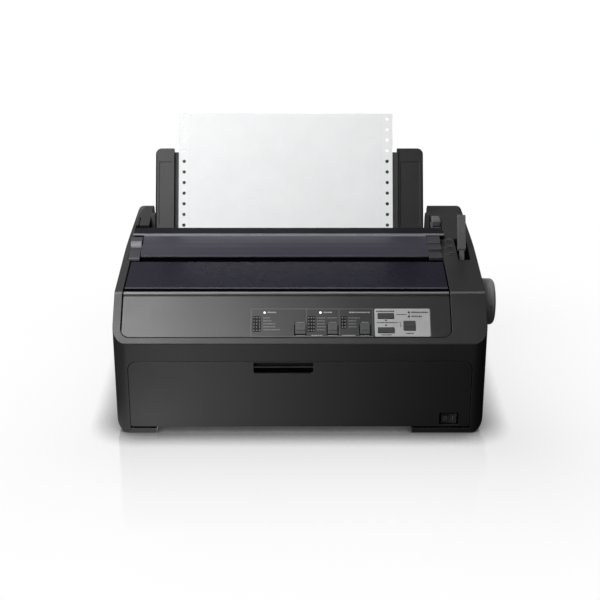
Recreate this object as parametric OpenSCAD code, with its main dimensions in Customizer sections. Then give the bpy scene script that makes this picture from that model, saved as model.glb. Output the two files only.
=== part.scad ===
// Narrow-carriage impact printer with a sheet of continuous paper loaded.
// Working frame: x = 0 on the case's centre line, y = 0 on its front face,
// z = 0 is 2 mm above the table. in_frame() moves it so that the origin is
// the centre of the underside of the whole object. Millimetres.

/* [Case] */
// Width of the case without its knob
body_w = 395; // [392:1:396]
// Depth of the case
body_d = 275; // [274:1:277]
// Height of the upright front face
front_h = 103; // [102:1:104]
// Wall thickness of the case mouldings
wall = 3; // [2.8:0.1:3.2]
// Radius of the upright front corners
corner_r = 15; // [13:1:16]
// Radius of the lower side edges
base_r = 15; // [13:1:16]
// Radius of the upper side edges at the back
horn_r = 14; // [12:1:16]
// Height where upper housing and lower case meet
seam_z = 34; // [32:1:36]

/* [Control panel] */
// Slope of the control panel
slope_a = 44; // [43.5:0.5:44.5]
// Height of one grey key
key_h = 12; // [11:0.5:12.5]
// Width of one grey key
key_w = 10.3; // [9.8:0.1:10.5]
// Travel of a key
key_travel = 1.2; // [0.8:0.1:1.3]

/* [Front cover] */
// Half width of the front cover
cover_hw = 181.5; // [180.5:0.5:181.5]
// Top edge of the front cover
cover_top = 82.6; // [81:0.1:83]
// Width of the grip slot
grip_w = 63; // [55:1:68]

/* [Platen and knob] */
// Radius of the platen roller
platen_r = 16; // [15:0.5:16.5]
// Radius of the platen shaft
shaft_r = 5; // [4:0.5:5.5]
// Radius of the hand knob
knob_r = 27; // [24:0.5:27]
// Length of the hand knob
knob_l = 17.5; // [16:0.5:20]

/* [Paper] */
// Width of the continuous paper
paper_w = 254; // [240:1:256]
// Length of the modelled sheet
paper_l = 196; // [190:1:198]
// Thickness of the modelled sheet
paper_t = 0.4; // [0.3:0.05:0.5]
// Pitch of the feed holes
hole_pitch = 12.7; // [12.7:0.1:12.8]
// Radius of a feed hole
hole_r = 2; // [1.8:0.1:2.1]
// Lean of the paper and its guide from upright
lean_a = 26; // [25:1:26]

/* [Hidden] */

hw = body_w/2;
knob_end = hw + 4 + knob_l;            // outer face of the knob
paper_top = paper_l - 58;              // along the lean, above the exit point
exit_y = 222;                          // paper at the exit slot
exit_z = 152;
top_y = exit_y + paper_top*sin(lean_a);
max_y = top_y + 0.2;                   // rearmost point of the whole object
shift_x = -(knob_end - hw)/2;
shift_y = -max(max_y, body_d)/2;
foot_z = -2;                           // underside of the feet

ramp_t = 0.1063;                       // rise of the top per mm of depth
ramp_a = atan(ramp_t);
crease_y = 42.7;
crease_z = front_h + crease_y*tan(slope_a);
function ramp(y) = crease_z + (y - crease_y)*ramp_t;
slope_len = crease_y/cos(slope_a);
crease_r = 3;                          // rounding of the crease
front_r = 2.5;                         // rounding of the panel's lower front edge

op_l = -189;                           // left edge of the cover opening
op_r = 160;                            // right edge of the cover opening
pl_y = 126;                            // platen axis
pl_z = 99;
gear_x = -182;                         // gear train plane
gear_w = 6;
gm = 1;                                // gear module
z_pl = 60; z_id = 30; z_pin = 18; z_ti = 36; z_tr = 40;
id_y = pl_y + 45*cos(-60); id_z = pl_z + 45*sin(-60);
pin_y = id_y + 24*cos(-20); pin_z = id_z + 24*sin(-20);
tr_th = 4;
ti_y = pl_y + 48*cos(tr_th); ti_z = pl_z + 48*sin(tr_th);
tr_y = pl_y + 86*cos(tr_th); tr_z = pl_z + 86*sin(tr_th);
rod_y = 72; rod_z = 76; rod_r = 5;
fl_x = -168; fr_x = 146; ft = 2;       // side frames
car_x = -118;                          // carriage centre at rest
lev_y = 127.4; lev_z = 120;            // release lever pivot
th_y = 232; th_z = 140;                // paper guide pivot
hub_y = 113; hub_z = 146.4;            // printer cover pivot
tu_y = 198; tu_z = 153;                // tension unit pivot
col_l = -137.65; col_r = 103.65;       // feed hole columns
paper_cx = (col_l + col_r)/2;
rail_ly = -24; rail_lz = -26;           // tractor rail, in the lean frame
rl_y = exit_y + rail_ly*cos(lean_a) + rail_lz*sin(lean_a);
rl_z = exit_z - rail_ly*sin(lean_a) + rail_lz*cos(lean_a);
sw_x = 159.5; sw_y = 8;                // power rocker pivot
run = 0.05;                            // running clearance of a shaft in its bore

module in_frame() translate([shift_x, shift_y, -foot_z]) children();
module along_x(x0, x1) translate([x0, 0, 0]) rotate([90, 0, 90]) linear_extrude(x1 - x0) children();
module along_y(y0, y1) translate([0, y1, 0]) rotate([90, 0, 0]) linear_extrude(y1 - y0) children();
module box(a, b) translate(a) cube(b - a);
module rod(x0, x1, y, z, r, n = 48) translate([x0, y, z]) rotate([0, 90, 0]) cylinder(h = x1 - x0, r = r, $fn = n);
module on_slope() translate([0, 0, front_h]) rotate([slope_a, 0, 0]) children();
module on_lean() translate([0, exit_y, exit_z]) rotate([-lean_a, 0, 0]) children();
// rectangle with round corners, rb at the low edge and rt at the high edge
module rr4(x0, x1, y0, y1, rb, rt) {
    polygon([[x0 + rb, y0], [x1 - rb, y0], [x1, y0 + rb], [x1, y1 - rt],
        [x1 - rt, y1], [x0 + rt, y1], [x0, y1 - rt], [x0, y0 + rb]]);
    for (x = [x0 + rb, x1 - rb]) translate([x, y0 + rb]) circle(r = rb, $fn = 48);
    for (x = [x0 + rt, x1 - rt]) translate([x, y1 - rt]) circle(r = rt, $fn = 48);
}
// side outline of the case, inset by o, down to height zl
module side_outline(o, zl) {
    R = 14;
    cy = body_d - R;
    cz = ramp(cy) - R/cos(ramp_a) + 0.0;
    z1 = front_h + o*tan(slope_a) - o/cos(slope_a);
    yc = (crease_z - crease_y*ramp_t - front_h + o*(1/cos(slope_a) - 1/cos(ramp_a)))/(tan(slope_a) - ramp_t);
    zc = front_h + yc*tan(slope_a) - o/cos(slope_a);
    rc = max(crease_r - o, 0.01);
    bis = (slope_a + ramp_a)/2;
    cc = [yc, zc] - rc/cos((slope_a - ramp_a)/2)*[-sin(bis), cos(bis)];
    rf = max(front_r - o, 0.01);
    fc = [o, z1] - rf/cos((90 - slope_a)/2)*[-sin((90 + slope_a)/2), cos((90 + slope_a)/2)];
    polygon([[o, zl], each [for (t = [0:6]) let (a = 90 + (slope_a - 90)*t/6) fc + rf*[-sin(a), cos(a)]],
        each [for (t = [0:8]) let (a = slope_a + (ramp_a - slope_a)*t/8) cc + rc*[-sin(a), cos(a)]],
        [cy - (R - o)*sin(ramp_a), cz + (R - o)*cos(ramp_a)], [cy, cz], [body_d - o, cz], [body_d - o, zl]]);
    translate([cy, cz]) circle(r = R - o, $fn = 48);
}
module envelope(o, zl) {
    intersection() {
        along_x(-hw + o, hw - o) side_outline(o, zl);
        along_y(o, body_d - o) rr4(-hw + o, hw - o, zl, 167.6 - o, max(base_r - o, 1), horn_r - o);
        translate([0, 0, zl]) linear_extrude(200) rr4(-hw + o, hw - o, o, body_d - o, corner_r - o, 6 - o);
    }
}
// involute spur gear outline
function inv(a) = tan(a)*180/PI - a;
function half_tooth(r, rb, z, bl) = 90/z - bl + inv(20) - inv(acos(min(1, rb/r)));
module gear2d(z, ph = 0) {
    rp = gm*z/2;
    rb = rp*cos(20);
    ra = rp + 0.85*gm;
    rf = rp - 1.15*gm;
    bl = 0.10*gm/rp*180/PI;
    rs = [rf, max(rb, rf + 0.1), rp, (rp + ra)/2, ra];
    polygon([for (i = [0:z - 1]) each concat(
        [for (k = [0:4]) let (a = ph + 360*i/z - half_tooth(max(rs[k], rb), rb, z, bl)) [rs[k]*cos(a), rs[k]*sin(a)]],
        [for (k = [4:-1:0]) let (a = ph + 360*i/z + half_tooth(max(rs[k], rb), rb, z, bl)) [rs[k]*cos(a), rs[k]*sin(a)]])]);
}
function mesh_phase(th, pa, za, zb) = th + 180 - 180/zb + (th - pa)*za/zb;
ph_pl = 0;
ph_id = mesh_phase(-60, ph_pl, z_pl, z_id);
ph_pin = mesh_phase(-20, ph_id, z_id, z_pin);
ph_ti = mesh_phase(tr_th, ph_pl, z_pl, z_ti);
ph_tr = mesh_phase(tr_th, ph_ti, z_ti, z_tr);

// ---- case ----
foot_l0 = -cover_hw; foot_l1 = -154; foot_r0 = 120; foot_r1 = cover_hw;
module lower_case() in_frame() color("#1b1b1d") {
    difference() {
        union() {
            // tray: side and back walls with the rounded lower edges
            difference() {
                envelope(0, foot_z);
                envelope(wall, wall + 6);
                box([-200, -5, seam_z], [200, 300, 200]);
                box([-200, -5, -5], [200, 300, foot_z + 0.8]);
                // raised underside between the feet
                box([foot_l1, -5, -3], [foot_r0, 300, 6]);
                box([-200, 46, -3], [200, 225, 6]);
                // joint of the back panel
                box([-200, body_d - wall - 0.04, -5], [200, body_d - wall - 0.02, 60]);
                // front is closed by the drop-down cover and the corner posts
                box([-200, -5, 3.8], [200, 14, 200]);
                for (s = [-1, 1]) translate([s*(cover_hw + 0.3 + 10), 9, 30]) cube([20, 18.6, 80], center = true);
            }
            // inner front wall
            box([-181, 14, 9.02], [181, 16.5, 83.8]);
            // seat of the power switch
            box([143, 6, 3.82], [176, 13.98, 28]);
        }
        // front sheet entry
        box([-150, 10, 48], [116, 20, 60]);
        // switch pocket and the rocker's pivot holes
        box([150.2, -1, 8.6], [168.8, 30, 21.4]);
        translate([sw_x, sw_y, 7]) cylinder(h = 16, r = 1.2 + run, $fn = 32);
        // back connectors
        box([115.6, 255, 12.6], [144.4, 280, 32.4]);
        box([-22.2, 255, 13.8], [-9.8, 280, 25.2]);
        box([-92.2, 255, 12.8], [-35.8, 280, 28.2]);
        // seats of the rubber feet
        for (x = [-166, 150], y = [24, 245]) translate([x, y, foot_z - 1]) cylinder(h = 3, r = 9, $fn = 48);
        // air slots in the underside
        for (i = [0:11]) box([-60 + i*9, 70, 2], [-56 + i*9, 130, 12]);
    }
}
module rubber_feet() in_frame() color("#2a2a2a")
    for (x = [-166, 150], y = [24, 245]) translate([x, y, foot_z]) difference() {
        cylinder(h = 2, r = 8.9, $fn = 48);
        translate([0, 0, -0.1]) cylinder(h = 0.7, r = 5, $fn = 48);
    }
module upper_housing() in_frame() color("#2c2c2e") {
    difference() {
        union() {
            difference() {
                envelope(0, foot_z);
                envelope(wall, -20);
                // lower case below the seam, leaving the front corner posts
                box([-200, 18, -5], [200, 300, seam_z + 0.3]);
                // front cover opening
                along_y(-5, 17) rr4(-cover_hw - 0.6, cover_hw + 0.6, -30, cover_top + 0.6, 1, 10);
                box([-cover_hw - 0.6, -5, -5], [cover_hw + 0.6, 18.1, 60]);
                box([-200, -5, -5], [200, 300, foot_z + 0.8]);
            }
            // shelf behind the top of the front cover
            box([-182, 2.8, 84.5], [182, 20, 86.5]);
            // bearings of the front cover's pins
            intersection() {
                envelope(0, 0);
                for (s = [-1, 1]) translate([s*(cover_hw + 0.6 + 3.2), 6, 9]) cube([6.4, 14, 14], center = true);
            }
            // upright walls under the rims of the opening
            along_x(op_r + 0.01, op_r + 2.5) polygon([[112, 128], [112, ramp(112) - 2], [172.4, ramp(172.4) - 2], [172.4, 128]]);
            along_x(166, 168.5) polygon([[169.9, 112], [169.9, ramp(170) - 2], [233.4, ramp(233) - 2], [233.4, 112]]);
            box([op_r, 169.9, 128], [168.5, 172.4, ramp(170) - 2]);
            along_x(154, 156.5) polygon([[231, 112], [231, ramp(231) - 2], [262, ramp(262) - 2], [273, 150], [273, 112]]);
            box([154, 231, 112], [168.5, 233.4, ramp(231) - 2]);
            along_x(-179.5, -177) polygon([[208, 134], [208, ramp(208) - 2], [262, ramp(262) - 2], [273, 150], [273, 112], [236, 112], [236, 134]]);
            box([-hw + 2, 205.6, 134], [-177, 208, ramp(208) - 2]);
            // inner flanges along the opening
            along_x(op_l - 3.5, op_l - 0.01) polygon([[50, ramp(50) - 14], [50, ramp(50) - 2], [117.9, ramp(117.9) - 2], [117.9, ramp(117.9) - 14]]);
            along_x(op_r + 0.01, op_r + 2.01) polygon([[50, ramp(50) - 14], [50, ramp(50) - 2], [113, ramp(113) - 2], [113, ramp(113) - 14]]);
        }
        for (s = [-1, 1]) rod(s*(cover_hw + 4) - 4, s*(cover_hw + 4) + 4 - 1.2*(s > 0 ? 1 : 0) , 2.6, 6.8, 1.25, 32);
        // panel opening on the slope
        on_slope() translate([0, 0, -60]) linear_extrude(80) rr4(op_l, op_r, 6.9, 90, 10, 1);
        // opening of the printer cover, the tension unit and the paper slot
        translate([0, 0, 100]) linear_extrude(90) polygon([[op_l, 38], [op_l, 118], [-192.01, 118], [-192.01, 208], [-177, 208],
            [-177, 290], [154, 290], [154, 231], [166, 231], [166, 170], [op_r, 170], [op_r, 38]]);
        box([-177, 240, 120], [154, 290, 190]);
        // paper release lever slot
        translate([0, 0, 120]) linear_extrude(60) rr4(176.5, 190.5, 118, 172, 2, 2);
        // hole of the platen shaft
        rod(185, 200, pl_y, pl_z, 8);
        // seam groove on the left rear corner
        box([-189.6, 206, 155], [-188.4, 229, 190]);
        // air slots at the back and on the sides
        for (i = [0:13]) box([-150 + i*8, 268, 50], [-146 + i*8, 280, 84]);
        for (s = [-1, 1], i = [0:7]) translate([s*(hw - 2), 186 + i*8, 62]) cube([10, 3.4, 34], center = true);
    }
    // raised position marks beside the lever slot, plain bars
    for (i = [0:2]) translate([170.5, 132 + i*17, ramp(132 + i*17) - 0.2]) rotate([ramp_a, 0, 0]) difference() {
        translate([-4, -3, 0]) cube([8, 6, 0.6]);
        translate([-3.2, -2.2, -1]) cube([6.4, 4.4 - i*1.2, 3]);
    }
}
module front_cover() in_frame() color("#1f1f21") {
    difference() {
        union() {
            intersection() {
                envelope(0, 0);
                along_y(0, 3.2) rr4(-cover_hw, cover_hw, 6, cover_top, 2.5, 9.5);
            }
            for (s = [-1, 1]) rod(s > 0 ? cover_hw - 4 : -cover_hw - 2.4, s > 0 ? cover_hw + 2.4 : -cover_hw + 4, 2.6, 6.8, 1.2, 32);
            // stiffening ribs and top latches
            for (x = [-120, -60, 40, 100]) box([x, 3, 12], [x + 2, 8, 66]);
            box([-176, 3, 64], [140, 7, 66]);
            for (x = [-140, 130]) box([x, 3, 74], [x + 12, 9, 76]);
        }
        // grip slot with a thin lip across it
        along_y(-2, 6) rr4(-17.5 - grip_w/2, -17.5 + grip_w/2, 68.6, 75.4, 3.2, 0.4);
        along_y(-2, 6) rr4(-17.5 - grip_w/2, -17.5 + grip_w/2, 76.4, 81.7, 0.4, 0.4);
        box([-17.5 - grip_w/2 + 0.4, -1, 74.8], [-17.5 + grip_w/2 - 0.4, 0.6, 77]);
        // window of the power switch
        along_y(-2, 9) rr4(149, 170, 7.8, 22.2, 1, 1);
    }
}
// ---- control panel ----
keys = [[-4.9, 6, 11, 23.1], [29.3, 39.4, 11, 23.1], [63.4, 73.4, 11, 23.1],
    [82.2, 99, 12.6, 18.5], [82.2, 99, 28.8, 34.7], [109.3, 121.2, 15.4, 25.8]];
lights = [[-37.4, 35.8], [21.6, 35.8], [115, 35.8], [115, 31.2]];
crease_c = [crease_y, crease_z] - crease_r/cos((slope_a - ramp_a)/2)*[-sin((slope_a + ramp_a)/2), cos((slope_a + ramp_a)/2)];
bead_y = crease_c[0] - crease_r*sin(slope_a - 36);
function panel_in(y) = front_h + y*tan(slope_a) - 3/cos(slope_a);
module control_panel() in_frame() color("#262627") difference() {
    union() {
        // slab whose upper edge rolls over the crease
        intersection() {
            along_x(op_l, op_r) polygon([[2, front_h + 2*tan(slope_a)], each [for (t = [0:6]) let (a = slope_a - 6*t)
                crease_c + crease_r*[-sin(a), cos(a)]], [bead_y, panel_in(bead_y)], [2, panel_in(2)]]);
            on_slope() translate([0, 0, -10]) linear_extrude(20) rr4(op_l + 0.6, op_r - 0.6, 7.5, slope_len + 8, 9.5, 0.6);
        }
        // return flange of the crease
        box([op_l + 0.8, crease_y - 3.5, crease_z - 12], [op_r - 0.8, crease_y - 1.5, crease_z - 1.9]);
        // bosses of the board
        on_slope() for (x = [-80, 14, 145], u = [13, 38]) translate([x, u, -9]) cylinder(h = 6.5, r = 2.5, $fn = 24);
    }
    on_slope() {
        for (k = keys) translate([k[0] - 0.35, k[2] - 0.35, -5]) cube([k[1] - k[0] + 0.7, k[3] - k[2] + 0.7, 8]);
        for (l = lights) translate([l[0] - 1.2, l[1] - 1.2, -5]) cube([2.4, 2.4, 8]);
        // seat of the label
        translate([78.5, 8.1, -0.4]) cube([58.8, 32.2, 2]);
    }
}
module panel_label() in_frame() color("#c9cac9") on_slope() difference() {
    translate([0, 0, -0.4]) linear_extrude(0.6) rr4(78.7, 137.1, 8.3, 40.1, 1.5, 1.5);
    for (i = [3:5]) let (k = keys[i]) translate([k[0] - 0.35, k[2] - 0.35, -5]) cube([k[1] - k[0] + 0.7, k[3] - k[2] + 0.7, 8]);
    for (i = [2:3]) translate([lights[i][0] - 1.2, lights[i][1] - 1.2, -5]) cube([2.4, 2.4, 8]);
}
module status_lights() in_frame() color("#e8f0f4") on_slope()
    for (l = lights) translate([l[0], l[1], -9.2]) {
        cylinder(h = 9.2, r = 1.05, $fn = 24);
        cylinder(h = 3, r = 1.8, $fn = 24);
    }
module key_cap(i, proud) let (k = keys[i]) on_slope() {
    difference() {
        translate([k[0], k[2], -3.4]) cube([k[1] - k[0], k[3] - k[2], 3.4 + proud]);
        // finger relief that falls towards the lower edge
        translate([k[0] - 1, k[2] - 0.01, proud]) rotate([-6, 0, 0]) translate([0, -1, 0]) cube([k[1] - k[0] + 2, 1 + (k[3] - k[2])*0.35, 3]);
    }
    // retaining skirt and plunger
    translate([k[0] - 1, k[2] - 1, -4.4]) cube([k[1] - k[0] + 2, k[3] - k[2] + 2, 1.0]);
    translate([(k[0] + k[1])/2 - 1.5, (k[2] + k[3])/2 - 1.5, -5.4]) cube([3, 3, 1.2]);
}
module key_left() in_frame() color("#4b4c4e") key_cap(0, 1.4);
module key_middle() in_frame() color("#4b4c4e") key_cap(1, 1.4);
module key_right() in_frame() color("#4b4c4e") key_cap(2, 1.4);
module feed_key() in_frame() color("#303133") key_cap(3, 1.3);
module load_key() in_frame() color("#303133") key_cap(4, 1.3);
module pause_key() in_frame() color("#303133") key_cap(5, 1.3);

// ---- covers ----
module printer_cover() in_frame() color("#202027") {
    difference() {
        union() {
            // plate on the ramp with a turned-down front lip and side flanges
            along_x(op_l + 0.6, op_r - 0.6) polygon([[crease_y + 1.5, crease_z - 4], [crease_y + 1.5, crease_z - 0.5], [crease_y + 1.7, crease_z + 0.1], [crease_y + 2.3, ramp(crease_y + 2.3) + 0.3],
                [112, ramp(112) + 0.3], [116, ramp(116) - 1.2], [116, ramp(116) - 3], [112, ramp(112) - 2.4],
                [crease_y + 4.6, ramp(crease_y + 4.6) - 2.4], [crease_y + 3.7, crease_z - 4]]);
            for (x = [op_l + 0.6, op_r - 2.8]) along_x(x, x + 2.2)
                polygon([[crease_y + 2.2, crease_z - 7], [crease_y + 2.2, ramp(crease_y)], [115, ramp(115) - 2], [115, ramp(115) - 9]]);
            // hinge arms
            for (x = [op_l + 4, op_r - 10]) difference() {
                union() {
                    along_x(x, x + 6) polygon([[98, ramp(98) - 3], [98, ramp(98) - 2], [hub_y, ramp(hub_y) - 2], [hub_y, hub_z - 2.9]]);
                    rod(x, x + 6, hub_y, hub_z, 2.9, 32);
                }
                rod(x - 1, x + 7, hub_y, hub_z, 1.4 + run, 32);
            }
        }
    }
}
module tension_unit() in_frame() color("#2b2a33") {
    difference() {
        union() {
            // smoked arch, thin shell
            along_x(-178.6, 144.4) polygon([[128.5, 151], [128.5, 153.2], [134, 155.6], [142, 158.2], [152, 160.4], [160, 161.6], [168, 162.4],
                [168.6, 161.8], [169.6, 161.8], [170.2, 162.4], [170.2, 159.6], [160, 158.9], [152, 157.8], [142, 155.7], [134, 153.2], [131, 151.6], [131, 151]]);
            // apron that closes the gap below the arch's front edge
            along_x(-178.6, 144.4) polygon([[125.4, 143], [128.4, 152.6], [130.6, 152.6], [127.2, 142.6]]);
            // rear strip behind the tear-off edge
            along_x(-191.4, 165.2) polygon([[172.6, 162.6], [203, 160.2], [203, 158], [172.6, 159.8]]);
            along_x(-178.6, 144.4) polygon([[168, 159.6], [168, 162.0], [175, 162.0], [175, 159.6]]);
            // end cheeks inside the arch
            for (x = [-178.6, -60, 60, 141.9]) along_x(x, x + 2.5) polygon([[131, 151.4], [134, 154], [142, 156.4], [152, 158.6], [168, 160.4], [200.8, 158.4], [200.8, 150], [193, 147.4], [150, 139.4], [138, 143.4]]);
            // pivot barrels
            for (x = [-178.6, 137.4]) rod(x, x + 7, tu_y, tu_z, 4.2, 32);
        }
        for (x = [-180, 136]) rod(x, x + 10, tu_y, tu_z, 2 + run, 32);
        // roller axle bores
        rod(-180, 146, 146, 143, 1.6, 32);
    }
}
module tension_tabs() in_frame() color("#55555e") {
    // left tab, a sloping body with a raised cap
    along_x(-191.2, -179.2) polygon([[120, 150.6], [120, 153.4], [121.4, 154], [144, 157.2], [147, 161.2], [149, 162.6], [160.6, 164], [162, 163.4], [163.5, 158.8], [160, 155], [126, 150.6]]);
    // right tab in two steps
    along_x(144.8, 159.2) polygon([[121, 150.6], [121, 154], [137, 155.8], [138.4, 158.6], [150, 160], [151.5, 161.8], [165, 163.4], [166.5, 158.4], [160, 155], [126, 150.6]]);
    // carriers that tie the tabs to the arch
    for (x = [-191.2, 144.42]) along_x(x, x > 0 ? 150 : -178.62) polygon([[150, 150], [150, 155], [166, 158.6], [168, 154], [168, 148]]);
}
module tear_off_edge() in_frame() color("#6e6e78")
    along_x(-191.4, 165.2) polygon(concat([[170.6, 162.2], [171.2, 163.7]], [[172.2, 164], [172.5, 163.3], [172.5, 162.2]]));
module tension_rollers() in_frame() color("#3a3a3c") {
    rod(-177, 143.2, 146, 143, 1.5, 32);
    for (x = [-150, -110, -30, 20, 90, 120]) rod(x, x + 12, 146, 143, 4, 32);
}
// ---- paper guide ----
module guide_brackets() in_frame() color("#1a1a1b") {
    difference() {
        union() {
            along_x(-176.6, -171.8) polygon([[224, 129], [224, 150], [231, 167], [238, 167], [243, 160], [246, 140], [246, 112], [236, 112], [236, 129]]);
            along_x(149, 153.6) polygon([[208, 112], [208, 124], [224, 150], [231, 167], [238, 167], [243, 160], [246, 140], [246, 112]]);
        }
        rod(-178, 155, th_y, th_z, 3 + run, 32);
    }
    // sloping floor of the rear paper entry
    along_x(-176.6, 153.6) polygon([[236, 104], [271.6, 117.4], [271.6, 119.8], [236, 114]]);
    along_x(-171.8, 149) polygon([[231, 66], [233, 66], [236.2, 104], [236.2, 114], [234, 114]]);
    // studs of the tension unit and their posts
    rod(-178, -171, tu_y, tu_z, 2, 32);
    rod(138, 151, tu_y, tu_z, 2, 32);
    along_x(-171.2, -168.3) polygon([[194.5, 132], [194.5, 155.5], [201.5, 155.5], [201.5, 148], [212, 130], [237, 130], [237, 112.5], [234, 112.5], [232, 126], [206, 126]]);
    along_x(148.3, 151) polygon([[194.5, 114], [194.5, 155.5], [201.5, 155.5], [210, 114]]);
    // grey latch block of the right corner
    box([154.6, 209, 148], [165.4, 230, 158.4]);
    box([153.0, 214, 140], [155, 228.4, 152]);
}
module paper_guide() in_frame() color("#262627") {
    on_lean() difference() {
        union() {
            translate([-163.6, 1.2, -8]) cube([302.8, 2.6, 100]);
            // ribs at the back
            for (x = [-150, -90, -30, 30, 90, 128]) translate([x, 3.6, -8]) cube([2.4, 4.4, 96]);
            for (z = [20, 55, 86]) translate([-158, 3.6, z]) cube([292, 2.4, 2.2]);
        }
        // rails of the edge guides
        for (x = [[-161, 11], [116, 14]]) translate([x[0], 0, 40]) cube([x[1], 9, 5]);
    }
    // pivot arms and pins
    for (s = [0, 1]) let (x0 = s == 0 ? -171.4 : 135, x1 = s == 0 ? -158 : 148.6) {
        on_lean() translate([x0, 1.2, -11.5]) cube([x1 - x0, 13.4, 7]);
        rod(x0, x1, th_y, th_z, 4.9, 32);
    }
    rod(-176.2, -168, th_y, th_z, 3, 32);
    rod(146, 153.2, th_y, th_z, 3, 32);
}
module edge_guide(x0, x1, side) on_lean() difference() {
    union() {
        // front plate with round outer top corner
        translate([0, 1.0, 0]) rotate([90, 0, 0]) linear_extrude(3.6) union() {
            polygon([[x0, -3], [x1, -3], [x1, side > 0 ? 89 : 95], [side > 0 ? x1 - 7 : x1 - 1, 96], [side > 0 ? x0 + 1 : x0 + 7, 96], [x0, side > 0 ? 95 : 89]]);
            translate([side > 0 ? x1 - 7 : x0 + 7, 89]) circle(r = 7, $fn = 48);
            translate([side > 0 ? x0 + 1 : x1 - 1, 95]) circle(r = 1, $fn = 24);
        }
        // outer wall that wraps the plate
        translate([side > 0 ? x1 - 2 : x0, -2.6, -3]) cube([2, 9.4, 92]);
        // inner upright fence
        translate([side > 0 ? x0 : x1 - 1.6, -4.4, -3]) cube([1.6, 4.4, 97]);
        // tongue in the rail
        translate([side > 0 ? x0 + 6 : x1 - 11, 0.6, 40.4]) cube([5, 5, 4.2]);
    }
    // shallow panel between the fence and the outer edge
    translate([x0 + 4, -3.6, 4]) cube([x1 - x0 - 8, 1.6, 76]);
}
module edge_guide_left() in_frame() color("#39393a") edge_guide(-171, -149, -1);
module edge_guide_right() in_frame() color("#1d1d1e") edge_guide(115, 146, 1);
module fanfold_paper() in_frame() color("#f1f1ef") on_lean() difference() {
    translate([paper_cx - paper_w/2, -paper_t/2, paper_top - paper_l]) cube([paper_w, paper_t, paper_l]);
    for (x = [col_l, col_r], i = [0:14]) translate([x, 0, paper_top - 6.35 - i*hole_pitch]) rotate([90, 0, 0])
        cylinder(h = 4, r = hole_r, center = true, $fn = 24);
}
// ---- chassis ----
module chassis_pan() in_frame() color("#8d9092") difference() {
    union() {
        box([fl_x, 24, 9.2], [fr_x + ft, 250, 10.7]);
        for (x = [30, 136], y = [158, 220]) translate([x, y, 10.5]) cylinder(h = 5.5, r = 3, $fn = 24);
        for (x = [-112, -28], y = [205, 245]) translate([x, y, 10.5]) cylinder(h = 5.5, r = 3, $fn = 24);
        // bracket of the belt's idler and the motor's deck
        box([112, 26, 10.72], [144, 28, 66]);
        box([112, 26, 64], [144, 54, 66]);
        box([-166, 17.5, 64.2], [-121, 62.5, 66]);
        box([-166, 61, 10.72], [-121, 62.5, 65]);
        // stud of the belt's idler
        translate([132, 40, 65]) cylinder(h = 14.6, r = 2, $fn = 32);
        // bent rail that carries the front of the carriage
        box([fl_x + ft, 46, 89.2], [fr_x, 58, 91]);
        for (x = [fl_x + ft, fr_x - 10]) box([x, 46, 80], [x + 10, 47.4, 89.4]);
    }
    translate([-143, 40, 60]) cylinder(h = 10, r = 8, $fn = 48);
    for (i = [0:11]) box([-60 + i*9, 72, 5], [-56 + i*9, 128, 12]);
}
module frame_side(x0, left) difference() {
    along_x(x0, x0 + ft) polygon([[24, 10.7], [24, 60], [50, 104], [96, 128], [104, 137], [110, 137], [116, 128], [150, 128], [180, 146],
        [194, 146], [208, 126], [222, 108], [229, 90], [229, 10.7]]);
    rod(x0 - 1, x0 + ft + 1, pl_y, pl_z, 9);
    rod(x0 - 1, x0 + ft + 1, tr_y, tr_z, 4 + run);
    rod(x0 - 1, x0 + ft + 1, rod_y, rod_z, rod_r);
    rod(x0 - 1, x0 + ft + 1, rl_y, rl_z, 3);
    if (left) rod(x0 - 1, x0 + ft + 1, pin_y, pin_z, 11.2);
    // weight-saving windows
    box([x0 - 1, 90, 26], [x0 + ft + 1, 136, 44]);
    box([x0 - 1, 198, 40], [x0 + ft + 1, 220, 76]);
}
module side_frame_left() in_frame() color("#9b9ea0") {
    frame_side(fl_x, true);
    // studs of the two idler gears
    rod(-184, fl_x + 0.5, id_y, id_z, 3, 32);
    rod(-184, fl_x + 0.5, ti_y, ti_z, 3, 32);
    rod(-175.2, fl_x + 0.1, id_y, id_z, 5, 32);
    rod(-175.2, fl_x + 0.1, ti_y, ti_z, 5, 32);
    // hinge stud of the printer cover
    rod(-178, fl_x + 0.5, 106, 132, 3, 32);
    along_x(-178.6, -175.6) polygon([[101, 129], [109.5, 146], [111.4, 148], [114.2, 147.9], [115.2, 145.4], [112, 133]]);
    rod(-184.6, -176, hub_y, hub_z, 1.4, 32);
    // pivot stud of the thickness lever
    rod(fl_x + ft - 0.5, -158.2, 98, 118, 2.5, 32);
}
module side_frame_right() in_frame() color("#9b9ea0") {
    frame_side(fr_x, false);
    // pivot stud of the release lever
    rod(fr_x + ft - 0.5, 190, lev_y, lev_z, 3, 32);
    rod(fr_x + ft - 0.5, 177.4, lev_y, lev_z, 5, 32);
    // hinge stud of the printer cover
    along_x(147.9, 149.5) polygon([[100, 120], [109.5, 146], [111.4, 148], [114.2, 147.9], [115.2, 145.4], [112, 120]]);
    rod(148, 155.6, hub_y, hub_z, 1.4, 32);
}
module guide_rods() in_frame() color("#c4c7ca") {
    // carriage rod and the rail of the tractors
    rod(fl_x - 4, fr_x + ft + 4, rod_y, rod_z, rod_r);
    rod(fl_x - 2, fr_x + ft + 2, rl_y, rl_z, 3, 32);
}
module paper_path_plate() in_frame() color("#7f8284") difference() {
    rod(-150, 132, pl_y, pl_z, 20.2, 96);
    rod(-151, 133, pl_y, pl_z, 18.8, 96);
    box([-152, pl_y - 30, pl_z - 6], [134, pl_y + 30, pl_z + 30]);
    box([-152, pl_y - 30, pl_z - 30], [134, pl_y - 13, pl_z + 30]);
}
module platen_bushings() in_frame() color("#e3ddcf")
    for (x = [fl_x - 1, fr_x - 1]) difference() {
        rod(x, x + ft + 2, pl_y, pl_z, 9);
        rod(x - 1, x + ft + 3, pl_y, pl_z, shaft_r + run);
    }
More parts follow.
